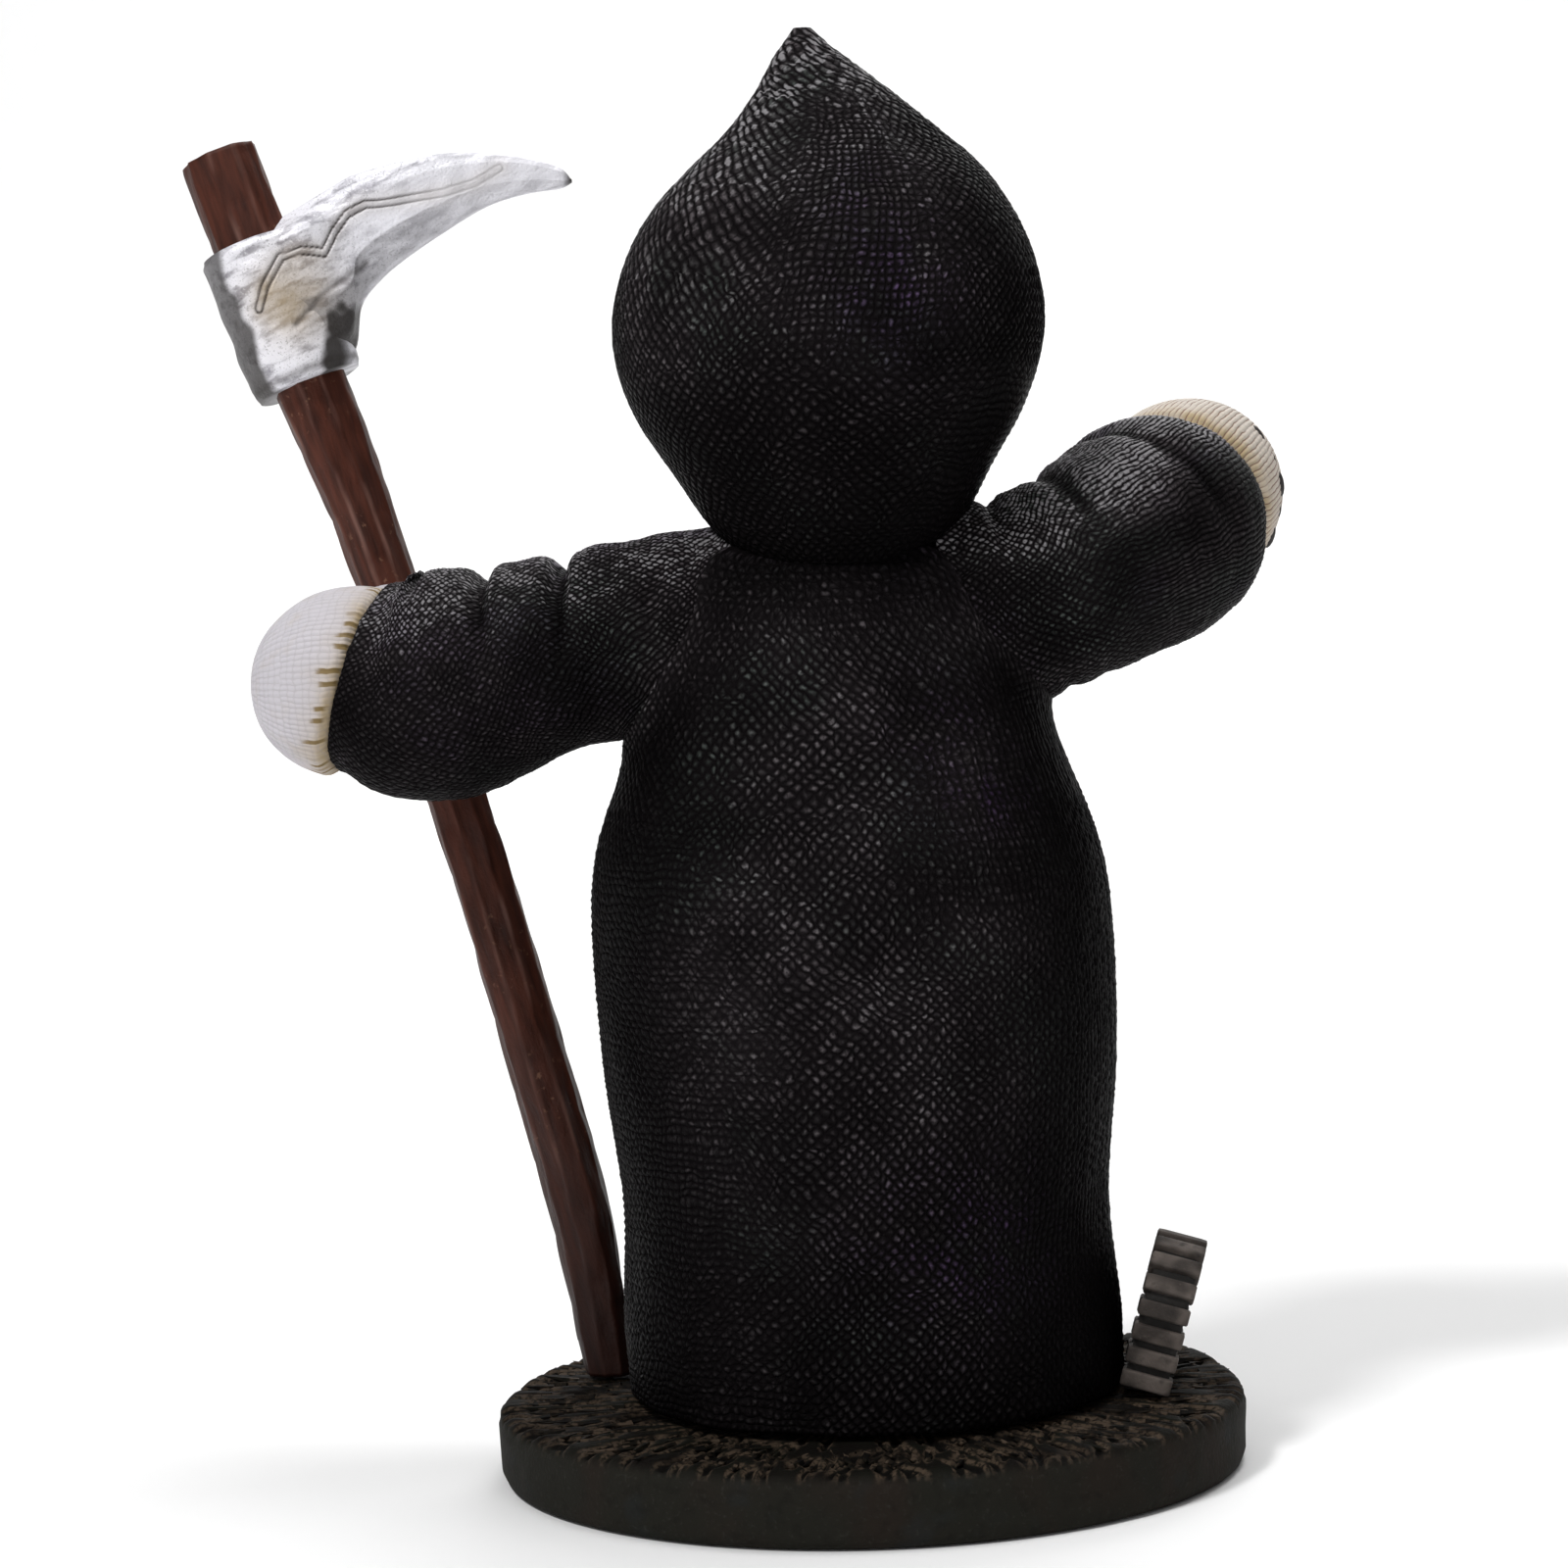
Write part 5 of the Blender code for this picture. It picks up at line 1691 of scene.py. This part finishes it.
@dataclass
class Scythe:
    """The whittled shaft, its socket and the silver blade.

    Attributes:
        path: rows of the share of the height, the share of the way across and the shaft's size.
        outline: rows of the share of the blade's reach and the heights of its back and its edge.
        groove: corners of the long scratched line, in shares of the reach.
        bevel_line: corners of the short one.
    """

    radius: float = 3.1
    sides: int = 9
    top: float = 121.6
    foot_x: float = 24.3
    top_x: float = 57.3
    foot_forward: float = 8.6
    top_forward: float = 22.0
    whittle: float = 0.05
    shaft_rows: int = 300
    shaft_columns: int = 108
    socket_radius: float = 5.3
    socket_start: float = 0.810
    socket_end: float = 0.925
    socket_rows: int = 120
    socket_columns: int = 240
    blade_reach: float = 28.9
    blade_height: float = 109.5
    blade_rows: int = 280
    blade_columns: int = 72
    root_thickness: float = 5.0
    tip_thickness: float = 1.5
    edge_thickness: float = 0.7
    bevel: float = 0.62
    groove_width: float = 0.20
    groove_gap: float = 0.68
    groove_depth: float = 0.30
    fillet: float = 2.2
    fillet_reach: float = 3.6
    melt: float = 0.9
    path: tuple = (
        (0.000, 0.000, 0.74), (0.127, 0.064, 0.93), (0.271, 0.196, 0.935), (0.447, 0.357, 0.92),
        (0.672, 0.591, 0.95), (0.785, 0.731, 1.13), (0.900, 0.880, 1.20), (1.000, 1.000, 1.21),
    )
    outline: tuple = (
        (-0.02, 0.165, -0.240), (0.10, 0.235, -0.245), (0.265, 0.325, -0.240), (0.30, 0.338, -0.090),
        (0.36, 0.355, -0.010), (0.45, 0.376, 0.062), (0.58, 0.395, 0.143), (0.72, 0.394, 0.220),
        (0.85, 0.376, 0.257), (0.96, 0.340, 0.270), (1.00, 0.300, 0.288),
    )
    groove: tuple = (
        (-0.014, -0.089), (0.009, -0.017), (0.064, 0.078), (0.125, 0.098), (0.198, 0.089), (0.229, 0.154),
        (0.273, 0.213), (0.335, 0.242), (0.437, 0.251), (0.590, 0.270), (0.693, 0.301), (0.774, 0.345),
    )
    bevel_line: tuple = ((0.115, -0.135), (0.182, -0.055), (0.327, 0.050))

    def centre(self, share: Array) -> Array:
        """Gives the shaft's centre at shares of its height."""
        x = self.foot_x + (self.top_x - self.foot_x) * curve_at(self.path, share)[1]
        forward = self.foot_forward + (self.top_forward - self.foot_forward) * share
        return np.stack([x, -forward, SEAT + (self.top - SEAT) * share], -1)

    def way(self, share: float) -> Array:
        """Gives the shaft's direction at a share of its height."""
        low, high = self.centre(np.array([max(0.0, share - 0.02), min(1.0, share + 0.02)]))
        return unit(high - low)

    def grip(self, height: float) -> tuple[Array, Array]:
        """Gives the shaft's centre and direction at a height."""
        share = (height - SEAT) / (self.top - SEAT)
        return self.centre(np.array([share]))[0], self.way(share)

    def rod(self, shares: Array, radii: Array, columns: int) -> tuple[Grid, Array]:
        """Makes a round grid about the shaft's centre line.

        Args:
            shares: the shares of the height of its rows.
            radii: the radius of each row.
            columns: points round each row.

        Returns:
            The grid and the middle of each row.
        """
        rings = []
        for share, radius, middle in zip(shares, radii, self.centre(shares)):
            way = self.way(min(0.98, share)) if share > 0.03 else UP
            side = unit(np.cross((0.0, 1.0, 0.0), way))
            rings.append(middle + radius * spokes(side, np.cross(way, side), full_turn(columns)))
        across = np.full(len(shares) - 1, columns / PER_STITCH)
        grid = Grid(np.stack(rings), across, np.arange(len(shares)) / PER_STITCH)
        return grid, grid.points.mean(axis=1, keepdims=True)

    def build_shaft(self, material: Material) -> None:
        """Builds the whittled shaft."""
        share, turn = np.linspace(0.0, 1.0, self.shaft_rows), full_turn(self.shaft_columns)
        tall = share[:, None]
        grid, middle = self.rod(share, self.radius * curve_at(self.path, share)[2], self.shaft_columns)
        wedge = 2 * math.pi / self.sides
        part = (turn % wedge) / wedge - 0.5
        flat = math.cos(wedge / 2) / np.cos(part * wedge)
        cut = 1.0 + self.whittle * np.sin(3 * turn + 14 * tall)
        scallop = ridge(tall * 17 + np.floor(turn / wedge) * 0.37)
        factor = flat * cut * (1.0 - 0.05 * (1.0 - scallop**0.5))
        grid.points = middle + (grid.points - middle) * factor[..., None]
        edge = ease(0.62, 0.98, 2 * np.abs(part)) * (0.55 + 0.45 * scallop)
        # The light mark holds painted shade that darkens the shaft towards its foot.
        grid.marks.update(edge=edge, light=ease(-0.05, 0.50, tall))
        grid.raised(0.16 * dents(grid.points * (1.0, 1.0, 0.3), 0.9, 31) * ease(0.0, 0.006, tall))
        settle(grid.build("shaft"), "scythe", material)

    def head_marks(self, x: Array, z: Array) -> dict[str, Array]:
        """Gives the carving and the paint of the head, as seen square to the blade.

        Args:
            x: places across.
            z: their heights.

        Returns:
            The carving's depth from 0 to 1 as "carve" and the marks "groove", "wash", "film" and "dark".
        """
        root, _ = self.grip(self.blade_height)
        out, up = (root[0] - x) / self.blade_reach, (z - self.blade_height) / self.blade_reach
        flat = np.stack([x, z, 0 * z], -1)
        place = np.stack([out, up], -1) + 0.014 * dents(flat, 3.0, 51)[..., None]
        away = segment_distance(place, self.groove) * self.blade_reach
        lower = segment_distance(place, self.bevel_line) * self.blade_reach
        double = np.exp(-(((away - self.groove_gap / 2) / (0.5 * self.groove_width)) ** 2))
        double = double * (1.0 - 0.80 * ease(0.26, 0.68, out))
        carve = np.maximum(double, 0.6 * np.exp(-((lower / 0.30) ** 2)))
        stain = np.hypot((out - 0.10) / 0.13, (up + 0.06) / 0.13)
        # Painted shadow in a patch low beside the socket, towards the blade.
        patch = np.maximum(np.abs(out - 0.250) / 0.060, np.abs(up + 0.205) / 0.125)
        streaks = dents(flat * (1.0, 1.0, 0.25), 0.9, 57)
        shadow = 0.96 * (1.0 - ease(0.75, 1.20, patch + 0.45 * streaks))
        return {
            "carve": carve,
            "groove": np.clip(0.95 * carve + 0.10 * np.exp(-((away / 0.5) ** 2)), 0.0, 1.0),
            "wash": np.exp(-(stain**2)) + 0.25 * np.exp(-(away**2)),
            "film": 1.15 - ease(0.05, 0.55, out),
            "dark": np.clip(ease(0.965, 1.0, out) + shadow, 0.0, 1.0),
        }

    def build_socket(self, material: Material) -> None:
        """Builds the silver socket round the shaft."""
        share = np.linspace(self.socket_start, self.socket_end, self.socket_rows)
        along = np.linspace(0.0, 1.0, self.socket_rows)
        end = np.minimum(ease(0.0, 0.05, along), 1.0 - ease(0.95, 1.0, along))
        grid, middle = self.rod(share, self.socket_radius * (0.93 + 0.07 * end), self.socket_columns)
        flat_on = ease(0.25, 0.6, np.abs((grid.points - middle)[..., 1]) / self.socket_radius)
        marks = self.head_marks(grid.points[..., 0], grid.points[..., 2])
        along = along[:, None]
        # Painted shade on the socket's side that faces +X.
        facet = np.cos(full_turn(self.socket_columns)) + 0.16 * dents(grid.points, 1.4, 43)
        outer = ease(0.42, 0.62, facet) * (1.0 - 0.14 * along)
        lip = np.exp(-(((along - 0.05) / 0.03) ** 2))
        grid.marks.update(
            groove=np.clip(marks["groove"] * flat_on + 0.5 * lip, 0.0, 1.0),
            wash=marks["wash"] * flat_on,
            film=marks["film"],
            dark=np.clip(0.95 * outer + marks["dark"] * flat_on, 0.0, 1.0),
        )
        carve = self.groove_depth * marks["carve"] * flat_on
        grid.raised(0.35 * dents(grid.points, 2.0, 41) - carve - 0.12 * lip)
        settle(grid.build("socket"), "scythe", material)

    def half_thickness(self, reach: Array, down: Array) -> Array:
        """Gives the blade's half thickness.

        Args:
            reach: the share of the reach of each row.
            down: the share of the way from back to edge of each column.

        Returns:
            The half thickness by row and column, millimetres.
        """
        thick = self.root_thickness + (self.tip_thickness - self.root_thickness) * np.clip(reach, 0, 1)
        stops = (0.0, 0.04, 0.30 * self.bevel, self.bevel, 0.97, 1.0)
        rows = []
        for t, e in zip(thick, np.minimum(thick, self.edge_thickness)):
            rows.append(np.interp(down, stops, (0.30 * t, 0.38 * t, 0.50 * t, 0.46 * t, 0.55 * e, 0.30 * e)))
        return np.stack(rows)

    def build_blade(self, material: Material) -> None:
        """Builds the blade, with a fillet where it leaves the socket."""
        root, _ = self.grip(self.blade_height)
        rows, half = self.blade_rows, self.blade_columns
        reach, down = np.linspace(-0.02, 1.0, rows), np.linspace(0.0, 1.0, half)
        _, back, edge = curve_at(self.outline, reach, 12)
        tall = reach[:, None]
        top = self.blade_height + self.blade_reach * back[:, None]
        low = self.blade_height + self.blade_reach * edge[:, None]
        z = top + (low - top) * down
        x = np.repeat(root[0] - self.blade_reach * tall, half, axis=1)
        axis = self.centre((z - SEAT) / (self.top - SEAT))
        sideways = axis[..., 0] - x
        gone = np.maximum(0.0, sideways - 0.85 * self.socket_radius)
        fillet = self.fillet * np.exp(-((gone / self.fillet_reach) ** 2))
        fillet = fillet * ease(0.0, 2.2, np.minimum(z - low, top - z))
        marks = self.head_marks(x, z)
        # Painted shade on the downward-facing lower bevel, in the grey coat and the dark mark; a grey coat
        # along the upper edge too.
        lower_face = ease(0.60, 0.64, down) * (1.0 - ease(0.93, 1.0, down)) * (1.0 - ease(0.15, 0.85, tall))
        upper_face = (1.0 - ease(0.12, 0.36, down)) * (1.0 - ease(0.35, 0.95, tall))
        marks["film"] = np.maximum(marks["film"], np.maximum(lower_face, upper_face) + 0.10)
        marks["dark"] = np.maximum(marks["dark"], 0.42 * lower_face)
        hammered = 0.30 * dents(np.stack([x, z, 0 * z], -1), 1.7, 53) - self.groove_depth * marks.pop("carve")
        hammered = hammered * ease(0.0, 0.10, down) * (1.0 - ease(0.88, 1.0, down))
        depth = np.maximum(self.half_thickness(reach, down) + fillet + hammered, 0.12)
        start, end = self.centre(np.array([self.socket_start, self.socket_end]))[:, 2]
        within = ease(start, start + 0.8, z) * (1.0 - ease(end - 0.8, end, z))
        barrel = np.sqrt(np.maximum(0.0, self.socket_radius**2 - sideways**2))
        barrel = barrel * within - 0.03 - 0.35 * ease(0.0, 1.0, 1.0 - sideways / self.socket_radius)
        depth = 0.5 * (depth + barrel + np.sqrt((depth - barrel) ** 2 + self.melt**2 * within))
        y = root[1] + (axis[..., 1] - root[1]) * np.exp(-((gone / 6.0) ** 2))
        behind = np.stack([x, y + depth, z], -1)
        before = np.stack([x, y - depth, z], -1)[:, ::-1]
        grid = Grid(
            np.concatenate([behind, before], axis=1),
            np.full(rows - 1, 2.0 * half / PER_STITCH),
            np.arange(rows) / PER_STITCH,
            {name: np.concatenate([values, values[:, ::-1]], axis=1) for name, values in marks.items()},
        )
        settle(grid.build("blade"), "scythe", material)

    def build(self, shaft: Material, silver: Material) -> None:
        """Builds all of the scythe."""
        self.build_shaft(shaft)
        self.build_socket(silver)
        self.build_blade(silver)


@dataclass
class Gravestone:
    """The small round-topped stone leaning outwards, laid in blocks along its edge."""

    thickness: float = 4.6
    width: float = 14.0
    height: float = 13.6
    lean: float = 16.0
    turn: float = 6.0
    x: float = -24.9
    y: float = 1.6
    blocks: int = 15
    joint: float = 0.66
    border: float = 1.9
    panel: float = 0.5
    shoulder: float = 0.35

    def placed(self, points: Array) -> Array:
        """Leans, turns and stands points.

        Args:
            points: the points as across, along the width and up.

        Returns:
            The points in place.
        """
        lean, turn = math.radians(-self.lean), math.radians(-self.turn)
        across, along, up = points[..., 0], points[..., 1], points[..., 2]
        over = across * math.cos(lean) + up * math.sin(lean)
        up = -across * math.sin(lean) + up * math.cos(lean)
        x = over * math.cos(turn) - along * math.sin(turn)
        y = over * math.sin(turn) + along * math.cos(turn)
        return np.stack([x + self.x, y + self.y, up + SEAT], -1)

    def outline(self, inset: float, count: int) -> Array:
        """Gives the outline from one foot round the arch to the other.

        Args:
            inset: how far it is drawn in.
            count: points on the arch.

        Returns:
            Places along the width and up.
        """
        half, straight = self.width / 2 - inset, self.height - self.width / 2
        arc = np.linspace(0.0, math.pi, count)
        rise = np.linspace(0.0, straight, count // 3, endpoint=False)
        right = np.stack([np.full_like(rise, half), rise], -1)
        arch = np.stack([half * np.cos(arc), straight + half * np.sin(arc)], -1)
        return np.concatenate([right, arch, (right * (-1.0, 1.0))[::-1]])

    def build_slab(self, material: Material) -> None:
        """Builds the slab that the blocks stand on."""
        thick, face = self.thickness / 2, 1.15 * self.border
        panel, shoulder = thick - self.panel, thick - self.shoulder
        front = [(face + 2.0, panel), (face, panel), (self.border, shoulder), (0.75, shoulder)]
        front.append((0.6, 0.6 * thick))
        rings = []
        for inset, across in [(inset, -across) for inset, across in front] + front[::-1]:
            line = self.outline(inset, 60)
            under = np.stack([np.linspace(line[-1, 0], line[0, 0], 10)[1:-1], np.zeros(8)], -1)
            line = np.concatenate([line, under])
            rings.append(self.placed(np.insert(line, 0, across, axis=1)))
        points = np.stack(rings)
        points[..., 2] = np.maximum(points[..., 2], SEAT)
        grid = Grid(points, np.full(len(rings) - 1, 40.0), np.arange(len(rings)) / PER_STITCH)
        grid.raised(0.18 * dents(points, 1.6, 61) * (points[..., 2] > SEAT + 0.3))
        settle(grid.build("gravestone_slab"), "gravestone", material)

    def build_blocks(self, material: Material) -> None:
        """Lays the blocks along the slab's edge."""
        line = self.outline(0.5 * self.border, 90)
        run = run_along(line)
        pitch = run[-1] / self.blocks
        trimmed = np.linspace(pitch / 2, run[-1] - pitch / 2, 120)
        path = np.stack([0 * trimmed, *(np.interp(trimmed, run, line[:, k]) for k in (0, 1))], -1)
        origin, beside = self.placed(np.array([[0.0, 0.0, 0.0], [1.0, 0.0, 0.0]]))
        block = ((pitch - self.joint) * MM, self.thickness * MM, self.border * MM)
        sizes = {"Count": self.blocks, "Block": block, "Across": tuple(map(float, unit(beside - origin)))}
        pattern = Pattern("stone_blocks", sizes)
        cube = {"Size": pattern.size["Block"], "Vertices X": 3, "Vertices Y": 3, "Vertices Z": 3}
        cube = pattern.node("GeometryNodeMeshCube", cube).outputs["Mesh"]
        soft = pattern.node("GeometryNodeSubdivisionSurface", {"Mesh": cube, "Level": 2, "Edge Crease": 0.55})
        axes = {"Primary Axis": pattern.tangent(), "Secondary Axis": pattern.size["Across"]}
        turn = pattern.node("FunctionNodeAxesToRotation", axes, primary_axis="X", secondary_axis="Y")
        host = host_line("stone_path", self.placed(path))
        shape = pattern.rounded(soft.outputs[0])
        made = pattern.make(
            host, pattern.even_points(), shape, turn.outputs[0], material, "gravestone_blocks"
        )
        settle(made, "gravestone")


@dataclass
class Studio:
    """The pale floor, the soft lights and the camera.

    Attributes:
        lights: each light's name, place, width, power in watts and the place it faces.
    """

    eye: Triple = (0.0, 0.420, 0.097)
    yaw: float = 0.8235
    pitch: float = 4.7206
    roll: float = 2.0627
    lens: float = 107.18
    sensor: float = 36.0
    ambient: float = 0.22
    lights: tuple = (
        ("key", (0.80, 0.90, 1.60), 0.32, 20.0, FIGURE_MIDDLE),
        ("fill", (0.15, 1.40, 0.50), 0.45, 1.8, FIGURE_MIDDLE),
        ("top", (-0.30, -0.20, 1.90), 0.80, 13.0, FIGURE_MIDDLE),
        ("front", (-0.40, -1.60, 1.10), 0.90, 9.0, FIGURE_MIDDLE),
        ("backdrop", (0.0, -0.80, 1.60), 1.00, 12.0, (0.0, -2.10, 0.70)),
    )
    floor_span: float = 4.0
    floor_back: float = -1.6
    floor_bend: float = 0.5
    floor_high: float = 3.0

    def camera(self) -> None:
        """Sets the camera where the photograph's stood."""
        yaw, pitch, roll = (math.radians(a) for a in (self.yaw, self.pitch, self.roll))
        level_ahead = math.cos(pitch)
        ahead = np.array((math.sin(yaw) * level_ahead, -math.cos(yaw) * level_ahead, -math.sin(pitch)))
        level = unit(np.cross(ahead, UP))
        high = np.cross(level, ahead)
        right = level * math.cos(roll) - high * math.sin(roll)
        upward = high * math.cos(roll) + level * math.sin(roll)
        data = bpy.data.cameras.new("camera")
        data.lens, data.sensor_width = self.lens, self.sensor
        data.clip_start, data.clip_end = 0.01, 50.0
        made = add_object("camera", data)
        turn = Matrix([right, upward, -ahead]).transposed()
        made.matrix_world = Matrix.Translation(self.eye) @ turn.to_4x4()
        bpy.context.scene.camera = made

    def light(self) -> None:
        """Adds the soft lights and the even light from all round."""
        for name, place, size, power, aim in self.lights:
            data = bpy.data.lights.new(name, "AREA")
            data.size, data.energy = size, power
            made = add_object(name, data)
            made.location = place
            made.rotation_euler = (Vector(place) - Vector(aim)).to_track_quat("Z", "Y").to_euler()
        world = bpy.data.worlds.new("studio")
        world.use_nodes = True
        around = world.node_tree.nodes["Background"].inputs
        around["Color"].default_value = (1.0, 1.0, 1.0, 1.0)
        around["Strength"].default_value = self.ambient
        bpy.context.scene.world = world
        bpy.context.scene.view_settings.view_transform = "Standard"

    def build(self, paper: Material) -> None:
        """Builds the studio."""
        self.camera()
        self.light()
        span, back, bend = self.floor_span, self.floor_back, self.floor_bend
        turn = np.linspace(0.0, math.pi / 2, 17)
        path = [(span, 0.0)] + [(back - bend * math.sin(a), bend * (1 - math.cos(a))) for a in turn]
        path.append((back - bend, self.floor_high))
        places = [(x, y, z) for y, z in path for x in (-span, span)]
        faces = [(2 * k, 2 * k + 1, 2 * k + 3, 2 * k + 2) for k in range(len(path) - 1)]
        floor = plain_object("floor", places, [], faces)
        floor.data.shade_smooth()
        floor.data.materials.append(paper)


def scythe_arm() -> Sleeve:
    """Gives the sleeve of the arm that holds the scythe."""
    return Sleeve(
        name="scythe_sleeve",
        stations=(
            (0.15, 0.00, 0.00, 0.90), (0.34, 0.06, 0.04, 0.88), (0.50, 0.20, 0.22, 0.88),
            (0.66, 0.45, 0.58, 0.95), (0.82, 0.68, 0.94, 1.09), (0.92, 0.87, 1.00, 1.06),
            (1.00, 1.00, 0.80, 0.93),
        ),
        creases=((0.45, 0.024, 0.22, 80.0), (0.64, 0.026, 0.20, 95.0), (0.83, 0.030, 0.16, 140.0)),
        reach=43.4,
        forward=5.6,
        arm_height=77.0,
        rise=-4.9,
        ribs=0.30,
    )


def raised_arm() -> Sleeve:
    """Gives the sleeve of the raised arm."""
    return Sleeve(
        name="raised_sleeve",
        stations=(
            (0.25, 0.00, 0.00, 0.98), (0.55, 0.10, 0.12, 0.96), (0.78, 0.26, 0.50, 1.02),
            (0.91, 0.54, 0.76, 1.08), (0.96, 0.78, 0.88, 1.04), (1.00, 1.00, 1.00, 0.90),
        ),
        creases=((0.20, 0.040, 0.13, 60.0), (0.47, 0.035, 0.07, 75.0), (0.72, 0.040, 0.06, 110.0)),
        reach=-30.6,
        forward=14.6,
        arm_height=78.0,
        rise=7.4,
        sheen=6.5,
        join=3.0,
    )


def hand_seam(centre: Array, radius: float, thread: Material) -> None:
    """Sews the black stitches over the raised hand's outer side.

    Args:
        centre: the hand's middle.
        radius: its radius.
        thread: the stitches' finish.
    """
    arc = np.radians(np.linspace(-28.0, 38.0, 24))
    ways = unit(np.stack([-np.cos(arc), np.full_like(arc, 0.18), np.sin(arc)], -1))
    StitchRow("hand_seam", 2.7, 1.05, 5, smallest=0.45).build(centre + ways * (radius - 0.12), thread)


def main() -> None:
    """Builds every piece of the figurine in order."""
    logging.basicConfig(level=logging.INFO, format="%(name)s: %(message)s")
    black, thread = BlackKnit().material(), BlackThread().material()
    pale_hand = CreamKnit("cream_hand").material()
    ribbed_hand = CreamKnit("cream_ribs", (0.62, 0.56, 0.50), line_share=1.0, seam_share=0.0).material()
    face_paint = CreamKnit("cream_face", (0.62, 0.58, 0.54), line_share=0.1, seam_share=0.0).material()

    Base().build(TurfPaint().material(), GrassPaint().material())
    robe, hood, holding, raised = Robe(), Hood(), scythe_arm(), raised_arm()
    robe.build(black, (holding, raised))
    hood.build(black)
    Face().build(hood, face_paint, thread)

    scythe = Scythe()
    scythe.build(WornShaft().material(), SilverBlade().material())

    holding.build(black, robe)
    cuff, way = holding.cuff()
    level = unit((way[0], way[1], 0.0))
    Hand("scythe_hand").build(cuff + level * 1.3 - UP * 0.7, level, (cuff, way), pale_hand)
    grip, lean = scythe.grip(cuff[2])
    Fist().build(grip + (cuff - grip) * (0.25, 0.12, 0.0), lean, pale_hand)

    raised.build(black, robe)
    cuff, way = raised.cuff()
    turned = unit(way + (-0.15, 0.0, 0.12))
    hand = Hand("raised_hand", reach=9.6)
    hand.build(cuff + turned * 3.6, turned, (cuff, way), ribbed_hand)
    hand_seam(cuff + turned * 3.6, hand.radius, thread)

    joints = StonePaint("stone_joints", grey=(0.006, 0.005, 0.004), pale=(0.012, 0.010, 0.009))
    gravestone = Gravestone()
    gravestone.build_slab(joints.material())
    gravestone.build_blocks(StonePaint("stone").material())
    Studio().build(PaleFloor().material())
    bpy.context.view_layer.update()


if __name__ == "__main__":
    main()
